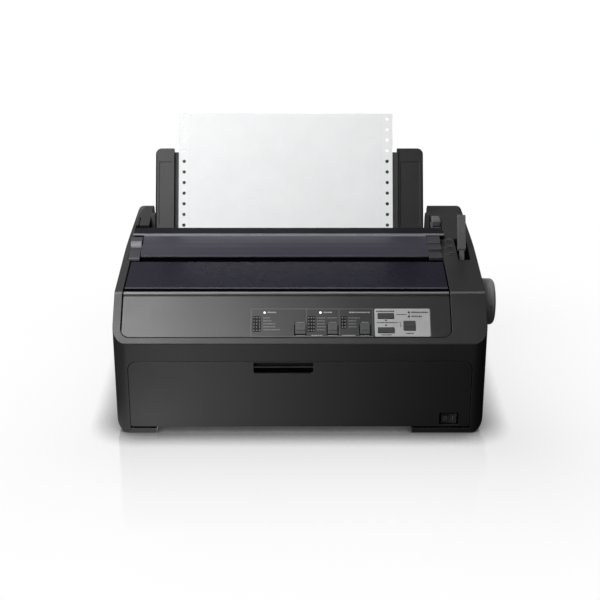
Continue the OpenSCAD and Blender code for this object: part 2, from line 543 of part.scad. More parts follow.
// ---- platen group ----
module platen_roller() in_frame() color("#19191a") difference() {
    rod(-150, 130, pl_y, pl_z, platen_r, 96);
    rod(-151, 131, pl_y, pl_z, shaft_r);
}
module platen_shaft() in_frame() color("#c9ccce") rod(-186, hw + 8, pl_y, pl_z, shaft_r);
module platen_gear() in_frame() color("#e6e2d6") difference() {
    union() {
        translate([0, pl_y, pl_z]) along_x(gear_x, gear_x + gear_w) gear2d(z_pl, ph_pl);
        rod(gear_x, gear_x + gear_w + 4, pl_y, pl_z, 9);
    }
    rod(gear_x - 1, gear_x + 20, pl_y, pl_z, shaft_r);
    for (a = [0:60:300]) rod(gear_x - 1, gear_x + gear_w + 5, pl_y + 18.5*cos(a), pl_z + 18.5*sin(a), 5, 32);
}
module platen_knob() in_frame() color("#77787a") difference() {
    union() {
        // skirted knob with a round rim
        translate([hw + 4, pl_y, pl_z]) rotate([0, 90, 0]) rotate_extrude($fn = 96) union() {
            polygon([[0, 0], [knob_r - 1.5, 0], [knob_r - 0.6, 2], [knob_r - 0.8, knob_l - 5], [knob_r - 5.8, knob_l], [0, knob_l]]);
            translate([knob_r - 5.8, knob_l - 5]) circle(r = 5, $fn = 48);
        }
        rod(hw - 7, hw + 5, pl_y, pl_z, 7.4);
    }
    rod(hw - 10, hw + 8, pl_y, pl_z, shaft_r);
    // finger grooves
    for (a = [0:15:345]) rod(hw + 5.5, hw + 4 + knob_l + 1, pl_y + (knob_r + 0.9)*cos(a), pl_z + (knob_r + 0.9)*sin(a), 1.5, 16);
    // hollow in the outer face
    translate([hw + 4 + knob_l - 1.6, pl_y, pl_z]) rotate([0, 90, 0]) cylinder(h = 3, r = knob_r - 8.5, $fn = 64);
}
// ---- gears and motors ----
module stepper_motors() in_frame() color("#3c3d40") {
    difference() {
        union() {
            along_x(fl_x + ft, fl_x + ft + 35) translate([pin_y, pin_z]) rr4(-21, 21, -21, 21, 4, 4);
            rod(fl_x - 1.2, fl_x + ft + 0.5, pin_y, pin_z, 11);
        }
        rod(fl_x - 5, fl_x + 12, pin_y, pin_z, 2.5 + run, 32);
    }
    difference() {
        union() {
            translate([-143, 40, 30]) linear_extrude(34) rr4(-20.5, 20.5, -20.5, 20.5, 4, 4);
            translate([-143, 40, 63]) cylinder(h = 4, r = 7.6, $fn = 48);
        }
        translate([-143, 40, 55]) cylinder(h = 20, r = 2.5 + run, $fn = 32);
    }
}
module motor_pinion() in_frame() color("#c8b06a") {
    translate([0, pin_y, pin_z]) along_x(gear_x, gear_x + gear_w) gear2d(z_pin, ph_pin);
    rod(gear_x - 1, fl_x + 11, pin_y, pin_z, 2.5, 32);
    rod(gear_x + gear_w, gear_x + gear_w + 3, pin_y, pin_z, 5, 32);
}
module train_gear(y, z, n, ph) difference() {
    union() {
        translate([0, y, z]) along_x(gear_x, gear_x + gear_w) gear2d(n, ph);
        rod(gear_x - 0.8, gear_x + gear_w + 0.5, y, z, 6, 48);
    }
    rod(gear_x - 2, gear_x + gear_w + 2, y, z, 3 + run, 32);
    rod(gear_x - 2, gear_x + 1.6, y, z, 3 + run, 32);
}
module idler_gear() in_frame() color("#e6e2d6") train_gear(id_y, id_z, z_id, ph_id);
module tractor_idler_gear() in_frame() color("#e6e2d6") train_gear(ti_y, ti_z, z_ti, ph_ti);
module tractor_gear() in_frame() color("#e6e2d6") difference() {
    union() {
        translate([0, tr_y, tr_z]) along_x(gear_x, gear_x + gear_w) gear2d(z_tr, ph_tr);
        rod(gear_x, gear_x + gear_w + 5, tr_y, tr_z, 8);
    }
    rod(gear_x - 1, gear_x + 20, tr_y, tr_z, 4);
}
module tractor_shaft() in_frame() color("#b9bcbe") rod(-184, fr_x + ft + 2, tr_y, tr_z, 4);
// ---- tractors: body behind the paper, pin wheel, hinged flap in front ----
// a tractor's side plate, in the lean frame
module lean_plate(x0, x1, pts) on_lean() translate([x0, 0, 0]) rotate([90, 0, 90]) linear_extrude(x1 - x0) polygon(pts);
module tractor(cx, s) difference() {
    union() {
        for (x = [cx - 10, cx + 6.4]) lean_plate(x, x + 3.6, [[1.4, -62], [24.6, -62], [24.6, -34], [8, -30], [1.4, -34]]);
        lean_plate(cx - 10, cx + 10, [[22.8, -62], [24.6, -62], [24.6, -34], [22.8, -34]]);
        // arm that passes outside the paper's edge to the rail
        lean_plate(s > 0 ? cx + 9.9 : cx - 14.2, s > 0 ? cx + 14.2 : cx - 9.9,
            [[1.4, -66], [24.6, -62], [24.6, -30], [10, -22], [-16, -19.4], [-30, -21], [-30, -31], [-16, -33.4], [1.4, -33.4]]);
        // lugs of the flap's pin
        on_lean() for (z = [-66, -37.2]) translate([s > 0 ? cx + 10 : cx - 19.4, -5.6, z]) cube([9.4, 7.2, z < -50 ? 3.4 : 3.8]);
        on_lean() translate([cx + s*17, -3.3, -64]) cylinder(h = 29, r = 1, $fn = 24);
    }
    rod(cx - 20, cx + 20, tr_y, tr_z, 5.5 + run, 48);
    rod(cx - 20, cx + 20, rl_y, rl_z, 3 + run, 32);
}
module wheel(cx) difference() {
    union() {
        rod(cx - 3.4, cx + 3.4, tr_y, tr_z, 7.4, 48);
        rod(cx - 6.0, cx + 6.0, tr_y, tr_z, 6.4, 48);
        rod(cx - 11, cx + 11, tr_y, tr_z, 5.5, 48);
        for (a = [0:72:288]) translate([cx, tr_y, tr_z]) rotate([a, 0, 0]) translate([0, 0, 6]) cylinder(h = 4.8, r = 1.6, $fn = 24);
    }
    rod(cx - 12, cx + 12, tr_y, tr_z, 4 + run, 48);
}
module flap(cx, s) on_lean() difference() {
    union() {
        translate([s > 0 ? cx - 9 : cx - 17.4, -4.4, -62]) cube([26.4, 2.2, 24]);
        translate([cx + s*17, -3.3, -62]) cylinder(h = 24, r = 2.1, $fn = 32);
        // grip lip at the free edge
        translate([s > 0 ? cx - 9 : cx + 7.2, -6, -54]) cube([1.8, 2, 10]);
    }
    translate([cx + s*17, -3.3, -63]) cylinder(h = 26, r = 1 + run, $fn = 32);
    // slot over the pins
    translate([cx - 2.4, -6.5, -56]) cube([4.8, 6.5, 16]);
}
module tractor_left() in_frame() color("#2f3033") tractor(col_l, -1);
module tractor_right() in_frame() color("#2f3033") tractor(col_r, 1);
module tractor_wheel_left() in_frame() color("#d8d4c6") wheel(col_l);
module tractor_wheel_right() in_frame() color("#d8d4c6") wheel(col_r);
module tractor_flap_left() in_frame() color("#3b3c40") flap(col_l, -1);
module tractor_flap_right() in_frame() color("#3b3c40") flap(col_r, 1);
// ---- carriage ----
module carriage() in_frame() color("#4a4b4e") difference() {
    union() {
        box([car_x - 26, 58, 67], [car_x + 26, 86, 86]);
        box([car_x - 30, 48, 80], [car_x + 30, 100, 86]);
        // foot over the front rail
        box([car_x - 14, 46.2, 80], [car_x + 14, 58, 88.8]);
        box([car_x - 14, 58.4, 85], [car_x + 14, 62, 93.5]);
        box([car_x - 14, 52, 91.4], [car_x + 14, 62, 93.5]);
        // belt clamp
        box([car_x - 8, 43, 68], [car_x + 8, 50, 80.5]);
        // head seat
        box([car_x - 20, 78, 85.5], [car_x + 20, 98, 88]);
    }
    rod(car_x - 40, car_x + 40, rod_y, rod_z, rod_r + run);
    // belt passes through the clamp
    box([car_x - 10, 45.2, 69.4], [car_x + 10, 47.8, 78.6]);
}
module print_head() in_frame() color("#6d7073") {
    difference() {
        union() {
            box([car_x - 16, 80, 88], [car_x + 16, 100, 110]);
            along_x(car_x - 5, car_x + 5) polygon([[99, 92], [108.3, 96.5], [108.3, 101.5], [99, 108]]);
            // rear flange
            box([car_x - 18, 77, 88], [car_x + 18, 79.5, 112]);
            box([car_x - 15, 79, 90], [car_x + 15, 81, 109]);
        }
        // cooling fins
        for (i = [0:6]) box([car_x - 17, 82.4 + i*2.5, 104], [car_x + 17, 83.6 + i*2.5, 112]);
    }
}
// flat cable of the print head, its free loop hangs in front of the carriage
module head_cable() in_frame() color("#c9b27a") along_x(car_x - 8, car_x + 8) {
    translate([34, 104]) square([42.6, 0.6]);
    translate([34, 92.4]) square([11, 0.6]);
    difference() {
        translate([34, 98.5]) circle(r = 6.1, $fn = 48);
        translate([34, 98.5]) circle(r = 5.5, $fn = 48);
        translate([34, 90]) square([10, 20]);
    }
}
module drive_pulley() in_frame() color("#c8b06a") translate([-143, 40, 0]) {
    translate([0, 0, 69.6]) cylinder(h = 8, r = 6, $fn = 48);
    translate([0, 0, 68.4]) cylinder(h = 1.2, r = 8, $fn = 48);
    translate([0, 0, 77.6]) cylinder(h = 1.2, r = 8, $fn = 48);
    translate([0, 0, 57]) cylinder(h = 21, r = 2.5, $fn = 32);
}
module idler_pulley() in_frame() color("#c8b06a") translate([132, 40, 0]) difference() {
    union() {
        translate([0, 0, 69.6]) cylinder(h = 8, r = 6, $fn = 48);
        translate([0, 0, 68.4]) cylinder(h = 1.2, r = 8, $fn = 48);
        translate([0, 0, 77.6]) cylinder(h = 1.2, r = 8, $fn = 48);
    }
    translate([0, 0, 60]) cylinder(h = 30, r = 2 + run, $fn = 32);
}
module timing_belt() in_frame() color("#17171a") {
    translate([0, 0, 70.6]) linear_extrude(6) difference() {
        union() {
            translate([-143, 32.6]) square([275, 14.8]);
            for (x = [-143, 132]) translate([x, 40]) circle(r = 7.4, $fn = 48);
        }
        translate([-143, 33.7]) square([275, 12.6]);
        for (x = [-143, 132]) translate([x, 40]) circle(r = 6.3, $fn = 48);
    }
}
module ribbon_cartridge() in_frame() color("#232326") {
    difference() {
        union() {
            // flat case above the carriage
            translate([0, 0, 118]) linear_extrude(13) rr4(-150, 132, 48, 80, 4, 6);
            translate([0, 0, 131]) linear_extrude(1.4) rr4(-144, 126, 52, 76, 3, 4);
            // arms that reach to the platen
            for (x = [-150, 120]) {
                box([x, 76, 118], [x + 12, 96, 131]);
                box([x, 88, 92], [x + 12, 96, 122]);
                box([x + 2, 95, 92], [x + 10, 107, 110]);
            }
            // inked ribbon in front of the platen
            box([-141, 108.75, 94], [122.5, 109.05, 106]);
            for (x = [-148, 122]) box([x, 106.5, 94], [x + 8, 109.05, 106]);
        }
        // window over the ribbon feed wheel
        translate([-60, 64, 125]) cylinder(h = 12, r = 8, $fn = 48);
    }
}
module ribbon_knob() in_frame() color("#3b3b40") translate([-60, 64, 0]) difference() {
    union() {
        translate([0, 0, 125.3]) cylinder(h = 9, r = 5, $fn = 48);
        translate([0, 0, 133]) cylinder(h = 5.4, r = 7.4, $fn = 48);
    }
    for (a = [0:30:330]) rotate([0, 0, a]) translate([8.2, 0, 132]) cylinder(h = 8, r = 1.3, $fn = 24);
}
module thickness_lever() in_frame() color("#5d6f8c") difference() {
    union() {
        rod(-165, -159, 98, 118, 5, 48);
        along_x(-164, -160) polygon([[95.4, 118], [101, 118], [104.6, 137], [99.4, 138]]);
        rod(-165, -159, 102, 138, 3, 32);
    }
    rod(-168, -156, 98, 118, 2.5 + run, 32);
}
module release_lever() in_frame() color("#6a6b6d") difference() {
    union() {
        rod(178, 187, lev_y, lev_z, 7, 48);
        // stem that leans back, slim through the slot
        along_x(180, 185.5) polygon([[lev_y - 3, lev_z], [lev_y + 3.4, lev_z - 3], [149.6, 153.6], [150.5, 158], [144.2, 160.5], [141.4, 155]]);
        // rounded paddle
        translate([0, 144.6, 156]) rotate([-27, 0, 0]) along_x(178.2, 187.2) union() {
            polygon([[-3.4, 0], [-4.4, 18], [-3.4, 35], [3.4, 35], [4.0, 18], [3.4, 0]]);
            for (z = [0, 35]) translate([0, z]) circle(r = 3.4, $fn = 32);
        }
    }
    rod(170, 195, lev_y, lev_z, 3 + run, 32);
}
// ---- electronics ----
module circuit_boards() in_frame() color("#1e5c38") {
    // main board
    box([24, 150, 16], [142, 226, 17.6]);
    box([40, 176, 17.5], [64, 200, 20.5]);
    box([80, 170, 17.5], [98, 188, 20]);
    box([74, 205, 17.5], [134, 209, 26]);
    for (i = [0:3]) translate([40 + i*14, 216, 17.5]) cylinder(h = 13, r = 4.6, $fn = 32);
    // panel board
    on_slope() {
        translate([-88, 9.5, -10.8]) cube([240, 32, 1.6]);
        // tactile switches under the keys
        for (k = keys) translate([(k[0] + k[1])/2 - 3, (k[2] + k[3])/2 - 2.5, -9.3]) cube([6, 5, 1.8]);
        translate([-70, 26, -9.3]) cube([22, 10, 3]);
    }
}
module power_supply() in_frame() color("#b5a06a") {
    box([-118, 199, 16], [-22, 251, 17.6]);
    // transformer, heat sink, main capacitor
    box([-76, 206, 17.5], [-46, 238, 44]);
    box([-42, 204, 17.5], [-39, 248, 42]);
    translate([-97, 222, 17.5]) cylinder(h = 26, r = 11, $fn = 48);
}
// sockets on the back wall: signal, serial and mains
module rear_sockets() in_frame() color("#17181a") {
    difference() {
        box([-92, 251, 13], [-36, 275.6, 28]);
        box([-88, 268, 16.5], [-40, 280, 24.5]);
    }
    difference() {
        box([-22, 252, 14], [-10, 274.6, 25]);
        box([-20.2, 264, 15.8], [-11.8, 280, 23.2]);
    }
    difference() {
        box([116, 250, 13], [144, 274.8, 32]);
        box([118.4, 258, 15.2], [141.6, 280, 29.8]);
    }
    for (p = [[123.4, 20], [136.6, 20], [130, 25]]) translate([p[0] - 1, 257, p[1] - 2]) cube([2, 14, 4]);
}
module power_rocker() in_frame() color("#303134") {
    translate([0, 0, 9.4]) linear_extrude(11.2) polygon([[sw_x - 8, 2.3], [sw_x, 2.5], [sw_x + 8, 0.3], [sw_x + 8, 7], [sw_x + 3, 11], [sw_x - 3, 11], [sw_x - 8, 8.6]]);
    translate([sw_x, sw_y, 7.4]) cylinder(h = 15.2, r = 1.2, $fn = 32);
}
module screws() in_frame() color("#b7babd") {
    for (x = [30, 136], y = [158, 220]) translate([x, y, 17.6]) cylinder(h = 2, r = 3, $fn = 24);
    for (x = [-112, -28], y = [205, 245]) translate([x, y, 17.6]) cylinder(h = 2, r = 3, $fn = 24);
    for (y = [40, 230], x = [fl_x - 1.8, fr_x + ft]) rod(x, x + 1.8, y, 20, 3, 24);
}

lower_case();
upper_housing();
rubber_feet();
front_cover();
control_panel();
panel_label();
ribbon_knob();
status_lights();
key_left();
key_middle();
key_right();
feed_key();
load_key();
pause_key();
printer_cover();
tension_unit();
tension_tabs();
tear_off_edge();
tension_rollers();
guide_brackets();
paper_guide();
edge_guide_left();
edge_guide_right();
fanfold_paper();
chassis_pan();
side_frame_left();
side_frame_right();
guide_rods();
thickness_lever();
paper_path_plate();
platen_bushings();
platen_roller();
platen_shaft();
platen_gear();
platen_knob();
stepper_motors();
motor_pinion();
idler_gear();
tractor_idler_gear();
tractor_shaft();
tractor_gear();
rear_sockets();
tractor_left();
tractor_right();
tractor_wheel_left();
tractor_wheel_right();
tractor_flap_left();
tractor_flap_right();
carriage();
print_head();
head_cable();
drive_pulley();
idler_pulley();
timing_belt();
ribbon_cartridge();
release_lever();
circuit_boards();
power_supply();
power_rocker();
screws();
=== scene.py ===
import math
import random

import bmesh
import bpy
from mathutils import Matrix, Vector


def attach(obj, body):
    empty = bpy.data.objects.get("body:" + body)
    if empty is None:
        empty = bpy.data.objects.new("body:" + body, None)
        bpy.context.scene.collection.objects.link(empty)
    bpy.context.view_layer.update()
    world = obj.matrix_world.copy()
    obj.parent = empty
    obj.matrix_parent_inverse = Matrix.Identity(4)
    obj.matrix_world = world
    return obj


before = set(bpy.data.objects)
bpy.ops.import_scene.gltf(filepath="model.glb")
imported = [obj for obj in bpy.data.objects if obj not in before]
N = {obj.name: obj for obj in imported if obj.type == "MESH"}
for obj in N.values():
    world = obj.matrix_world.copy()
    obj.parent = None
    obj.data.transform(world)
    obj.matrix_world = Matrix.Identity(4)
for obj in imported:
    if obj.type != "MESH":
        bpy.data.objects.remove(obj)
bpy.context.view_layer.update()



def centre(name):
    o = N[name]
    pts = [o.matrix_world @ Vector(c) for c in o.bound_box]
    return [(min(p[i] for p in pts) + max(p[i] for p in pts)) / 2 for i in range(3)]


# local millimetre frame -> row frame, read off the panel and the platen shaft
SX = centre("control_panel")[0] + 0.0145
SY = centre("platen_shaft")[1] - 0.126
SZ = centre("platen_shaft")[2] - 0.099


def P(x, y, z):
    """A point of the local frame (mm: x from the case centre, y from the front face, z up)."""
    return Vector((x / 1000 + SX, y / 1000 + SY, z / 1000 + SZ))


SLOPE = math.radians(44)
LEAN = math.radians(26)


def on_slope(x, u, n):
    """x across, u up the panel from its lower edge, n out of it, in mm."""
    return P(x, u * math.cos(SLOPE) - n * math.sin(SLOPE), 103 + u * math.sin(SLOPE) + n * math.cos(SLOPE))


def on_lean(x, yl, zl):
    return P(x, 222 + yl * math.cos(LEAN) + zl * math.sin(LEAN), 152 - yl * math.sin(LEAN) + zl * math.cos(LEAN))


# ---------------------------------------------------------------- camera
cam_data = bpy.data.cameras.new("camera")
cam = bpy.data.objects.new("camera", cam_data)
bpy.context.scene.collection.objects.link(cam)
cam.location = P(0, -1275.8, 681.3)
cam.rotation_euler = (math.radians(90 - 22.5), 0, 0)
cam_data.sensor_width = 36
cam_data.lens = 80.28
cam_data.clip_start = 0.05
cam_data.clip_end = 60
bpy.context.scene.camera = cam


# ---------------------------------------------------------------- material kit
class Mat:
    """A small builder for node materials."""

    def __init__(self, name):
        self.m = bpy.data.materials.new(name)
        self.m.use_nodes = True
        self.nt = self.m.node_tree
        self.nt.nodes.clear()
        self.out = self.nt.nodes.new("ShaderNodeOutputMaterial")
        self.b = self.nt.nodes.new("ShaderNodeBsdfPrincipled")
        self.nt.links.new(self.b.outputs[0], self.out.inputs[0])
        self.tc = self.nt.nodes.new("ShaderNodeTexCoord")
        self.pos = self.tc.outputs["Object"]

    def node(self, kind, **k):
        n = self.nt.nodes.new(kind)
        for a, v in k.items():
            setattr(n, a, v)
        return n

    def link(self, a, b):
        self.nt.links.new(a, b)

    def mapped(self, scale=(1, 1, 1), loc=(0, 0, 0), rot=(0, 0, 0)):
        n = self.node("ShaderNodeMapping")
        n.inputs["Location"].default_value = loc
        n.inputs["Rotation"].default_value = rot
        n.inputs["Scale"].default_value = scale
        self.link(self.pos, n.inputs["Vector"])
        return n.outputs[0]

    def noise(self, scale, detail=4, rough=0.55, vec=None, dist=0.0):
        n = self.node("ShaderNodeTexNoise")
        n.inputs["Scale"].default_value = scale
        n.inputs["Detail"].default_value = detail
        n.inputs["Roughness"].default_value = rough
        n.inputs["Distortion"].default_value = dist
        self.link(vec or self.pos, n.inputs["Vector"])
        return n.outputs["Fac"]

    def voronoi(self, scale, vec=None, feature="F1", out="Distance", rand=1.0):
        n = self.node("ShaderNodeTexVoronoi", feature=feature)
        n.inputs["Scale"].default_value = scale
        if "Randomness" in n.inputs:
            n.inputs["Randomness"].default_value = rand
        self.link(vec or self.pos, n.inputs["Vector"])
        return n.outputs[out]

    def wave(self, scale, vec=None, direction="X", dist=0.0, detail=0.0, profile="SIN"):
        n = self.node("ShaderNodeTexWave", bands_direction=direction, wave_profile=profile)
        n.inputs["Scale"].default_value = scale
        n.inputs["Distortion"].default_value = dist
        n.inputs["Detail"].default_value = detail
        self.link(vec or self.pos, n.inputs["Vector"])
        return n.outputs["Fac"]

    def ramp(self, fac, stops, interp="LINEAR"):
        n = self.node("ShaderNodeValToRGB")
        r = n.color_ramp
        r.interpolation = interp
        while len(r.elements) < len(stops):
            r.elements.new(0.5)
        for e, (p, c) in zip(r.elements, stops):
            e.position = p
            e.color = c if len(c) == 4 else (*c, 1)
        self.link(fac, n.inputs[0])
        return n.outputs[0]

    def rng(self, fac, a, b, c, d, smooth=False):
        n = self.node("ShaderNodeMapRange")
        if smooth:
            n.interpolation_type = "SMOOTHSTEP"
        n.inputs["From Min"].default_value = a
        n.inputs["From Max"].default_value = b
        n.inputs["To Min"].default_value = c
        n.inputs["To Max"].default_value = d
        self.link(fac, n.inputs["Value"])
        return n.outputs[0]

    def math(self, op, a, b=None, c=None, clamp=False):
        n = self.node("ShaderNodeMath", operation=op, use_clamp=clamp)
        for i, v in enumerate((a, b, c)):
            if v is None:
                continue
            if isinstance(v, (int, float)):
                n.inputs[i].default_value = v
            else:
                self.link(v, n.inputs[i])
        return n.outputs[0]

    def mix(self, fac, a, b):
        n = self.node("ShaderNodeMix", data_type="RGBA")
        for s, v in (("Factor", fac), ("A", a), ("B", b)):
            i = [x for x in n.inputs if x.name == s and (x.type == "RGBA" if s != "Factor" else x.type == "VALUE")][0]
            if isinstance(v, (int, float)):
                i.default_value = v
            elif isinstance(v, tuple):
                i.default_value = v if len(v) == 4 else (*v, 1)
            else:
                self.link(v, i)
        return [x for x in n.outputs if x.type == "RGBA"][0]

    def xyz(self):
        n = self.node("ShaderNodeSeparateXYZ")
        self.link(self.pos, n.inputs[0])
        return n.outputs

    def bump(self, height, strength, distance, normal=None):
        n = self.node("ShaderNodeBump")
        n.inputs["Strength"].default_value = strength
        n.inputs["Distance"].default_value = distance
        self.link(height, n.inputs["Height"])
        if normal is not None:
            self.link(normal, n.inputs["Normal"])
        return n.outputs[0]

    def edge(self, radius):
        """1 on the edges within radius, 0 on flat faces; also gives the rounded normal."""
        bv = self.node("ShaderNodeBevel", samples=6)
        bv.inputs["Radius"].default_value = radius
        g = self.node("ShaderNodeNewGeometry")
        d = self.node("ShaderNodeVectorMath", operation="DOT_PRODUCT")
        self.link(bv.outputs[0], d.inputs[0])
        self.link(g.outputs["True Normal"], d.inputs[1])
        return self.rng(d.outputs["Value"], 0.995, 0.80, 0.0, 1.0), bv.outputs[0]

    def set(self, **k):
        names = {"color": "Base Color", "metallic": "Metallic", "rough": "Roughness", "ior": "IOR", "alpha": "Alpha", "normal": "Normal",
                 "spec": "Specular IOR Level", "coat": "Coat Weight", "coat_rough": "Coat Roughness", "emit": "Emission Color",
                 "emit_s": "Emission Strength", "trans": "Transmission Weight", "sheen": "Sheen Weight", "sheen_rough": "Sheen Roughness",
                 "subsurface": "Subsurface Weight", "aniso": "Anisotropic"}
        for a, v in k.items():
            s = self.b.inputs[names[a]]
            if isinstance(v, (int, float)):
                s.default_value = v
            elif isinstance(v, tuple):
                s.default_value = v if len(v) == 4 else (*v, 1)
            else:
                self.link(v, s)
        return self


def zone_of(k, where):
    """1 inside any of the boxes of the local frame (mm), 0 outside."""
    x, y, z = k.xyz()
    zone = None
    for x0, x1, y0, y1, z0, z1 in where:
        f = k.math("MULTIPLY", k.math("GREATER_THAN", x, x0 / 1000 + SX), k.math("LESS_THAN", x, x1 / 1000 + SX))
        f = k.math("MULTIPLY", f, k.math("MULTIPLY", k.math("GREATER_THAN", y, y0 / 1000 + SY), k.math("LESS_THAN", y, y1 / 1000 + SY)))
        f = k.math("MULTIPLY", f, k.math("MULTIPLY", k.math("GREATER_THAN", z, z0 / 1000 + SZ), k.math("LESS_THAN", z, z1 / 1000 + SZ)))
        zone = f if zone is None else k.math("MAXIMUM", zone, f)
    return zone


def moulded(name, c0, c1, rough=(0.36, 0.46), grain=1500, grain_bump=0.10, edge_r=0.0006, edge_gain=1.5, spec=0.5, coat=0.0, coat_rough=0.2, alpha=None,
            painted_highlight=None, painted_highlight_colour=None, dark=None):
    """Moulded plastic: low, wide colour drift, spark-eroded grain, edges lightened in patches as a painted highlight;
    optional boxes of painted highlight and of near-black painted shade.
    """
    k = Mat(name)
    drift = k.noise(7, 3)
    fine = k.noise(grain, 2, 0.6)
    base = k.mix(k.rng(drift, 0.35, 0.65, 0, 1), c0, c1)
    speck = k.rng(fine, 0.3, 0.7, 0.90, 1.10)
    tinted = k.node("ShaderNodeVectorMath", operation="SCALE")
    k.link(base, tinted.inputs[0])
    k.link(speck, tinted.inputs["Scale"])
    e, n = k.edge(edge_r)
    # painted highlight: the colour is lightened in patches along the edges
    patchy_edge_highlight = k.math("MULTIPLY", e, k.rng(k.noise(90, 4), 0.3, 0.7, 0.25, 1.0))
    lit = tuple(min(1, c * edge_gain + 0.012) for c in c1)
    col = k.mix(patchy_edge_highlight, tinted.outputs[0], lit)
    # painted highlight: a lighter colour in the given boxes, for bright lines along creases and edges
    if painted_highlight:
        col = k.mix(zone_of(k, painted_highlight), col, painted_highlight_colour)
    # painted shade: near-black colour in the given boxes, for shadowed gaps and edges; the same boxes are made matt and
    # without specular below
    if dark:
        col = k.mix(zone_of(k, dark), col, (0.0015, 0.0015, 0.0016))
    scuff = k.noise(1, 5, 0.65, vec=k.mapped(scale=(60, 160, 60)))
    r = k.math("ADD", k.rng(k.noise(22, 4), 0.3, 0.7, rough[0], rough[1]), k.rng(scuff, 0.55, 0.8, 0.0, 0.05))
    if dark:
        m = zone_of(k, dark)
        r = k.math("MAXIMUM", r, k.math("MULTIPLY", m, 0.95))
        spec = k.rng(m, 0, 1, spec, 0.0)
    k.set(color=col, rough=r, normal=k.bump(fine, grain_bump, 0.0001, n), spec=spec, coat=coat, coat_rough=coat_rough, ior=1.5)
    if alpha is not None:
        k.set(alpha=alpha)
    return k.m


def smoked(name, c0, c1, rough, alpha, edge_highlight_colour, matt_from=None, gloss=0.28, painted_highlight=(), dark=()):
    """Smoked, slightly see-through cover plastic with flow marks and a polished face; edges and optional boxes take a
    painted highlight, other boxes a near-black painted shade; matt behind the depth matt_from, with the colour there
    also painted darker as shade.
    """
    k = Mat(name)
    flow = k.noise(1, 4, 0.5, vec=k.mapped(scale=(3, 14, 10)), dist=0.6)
    base = k.mix(k.rng(flow, 0.3, 0.7, 0, 1), c0, c1)
    e, n = k.edge(0.0007)
    # painted highlight: the edges take a lighter colour
    col = k.mix(e, base, edge_highlight_colour)
    ripple = k.noise(26, 2, 0.4)
    fine = k.noise(1400, 2, 0.5)
    h = k.math("ADD", k.math("MULTIPLY", ripple, 0.7), k.math("MULTIPLY", fine, 0.05))
    r = k.rng(k.noise(34, 5), 0.3, 0.7, rough[0], rough[1])
    spec, coat = gloss, 0.0
    # painted highlight: a lighter colour in the given boxes, for bright lines along edges and ridges
    m = zone_of(k, painted_highlight)
    col = k.mix(m, col, tuple(c * 1.5 for c in edge_highlight_colour))
    # painted shade: near-black, matt, specular-free colour in the given boxes, for shadowed lips and gaps
    m = zone_of(k, dark)
    col = k.mix(m, col, (0.0015, 0.0014, 0.0018))
    r = k.math("MAXIMUM", r, k.math("MULTIPLY", m, 0.95))
    spec = k.rng(m, 0, 1, gloss, 0.0)
    if matt_from is not None:
        x, y, z = k.xyz()
        m = k.rng(y, matt_from / 1000 + SY, (matt_from + 1) / 1000 + SY, 0, 1)
        # matt finish behind matt_from, with the colour painted darker there as shade on the rear-facing strip
        col = k.mix(m, col, (0.011, 0.011, 0.0125))
        r = k.math("ADD", k.math("MULTIPLY", r, k.rng(m, 0, 1, 1, 0)), k.math("MULTIPLY", m, 0.85))
        spec = k.math("MULTIPLY", spec, k.rng(m, 0, 1, 1.0, 0.25))
    k.set(color=col, rough=r, normal=k.bump(h, 0.015, 0.0004, n), ior=1.5, alpha=alpha, coat=coat, coat_rough=0.12, spec=spec)
    return k.m


def zoned(name, dark, light, where, rough, grain_bump=0.12, black=None):
    """Moulded plastic in two greys, split by box-shaped zones of the local frame (mm); the edges are lightened as a
    painted highlight.
    """
    k = Mat(name)
    zone = zone_of(k, where)
    fine = k.noise(1500, 2, 0.6)
    drift = k.noise(9, 3)
    base = k.mix(zone, dark, light)
    tinted = k.node("ShaderNodeVectorMath", operation="SCALE")
    k.link(base, tinted.inputs[0])
    k.link(k.math("MULTIPLY", k.rng(fine, 0.3, 0.7, 0.9, 1.1), k.rng(drift, 0.3, 0.7, 0.92, 1.08)), tinted.inputs["Scale"])
    e, n = k.edge(0.0006)
    # painted highlight along the edges
    col = k.mix(k.math("MULTIPLY", e, 0.5), tinted.outputs[0], tuple(min(1, c * 1.5 + 0.012) for c in light))
    if black:
        col = k.mix(zone_of(k, black), col, (0.0015, 0.0015, 0.0018))
    k.set(color=col, rough=k.rng(k.noise(22, 4), 0.3, 0.7, rough[0], rough[1]), normal=k.bump(fine, grain_bump, 0.0001, n), ior=1.5)
    return k.m


def steel(name, c0, c1, rough, brush=(4, 900, 900), bump=0.05):
    """Zinc-plated or ground steel: fine brush lines, clouded plating, edges lightened as a painted highlight."""
    k = Mat(name)
    cloud = k.noise(30, 5, 0.6)
    lines = k.noise(1, 2, 0.6, vec=k.mapped(scale=brush))
    spangle = k.voronoi(160)
    f = k.math("ADD", k.math("MULTIPLY", cloud, 0.6), k.math("MULTIPLY", spangle, 0.4))
    col = k.mix(k.rng(f, 0.3, 0.7, 0, 1), c0, c1)
    e, n = k.edge(0.0004)
    # painted highlight along the edges
    col = k.mix(k.math("MULTIPLY", e, 0.6), col, tuple(min(1, c * 1.25) for c in c1))
    k.set(color=col, metallic=0.95, rough=k.rng(lines, 0.25, 0.75, rough[0], rough[1]), normal=k.bump(lines, bump, 0.00005, n))
    return k.m


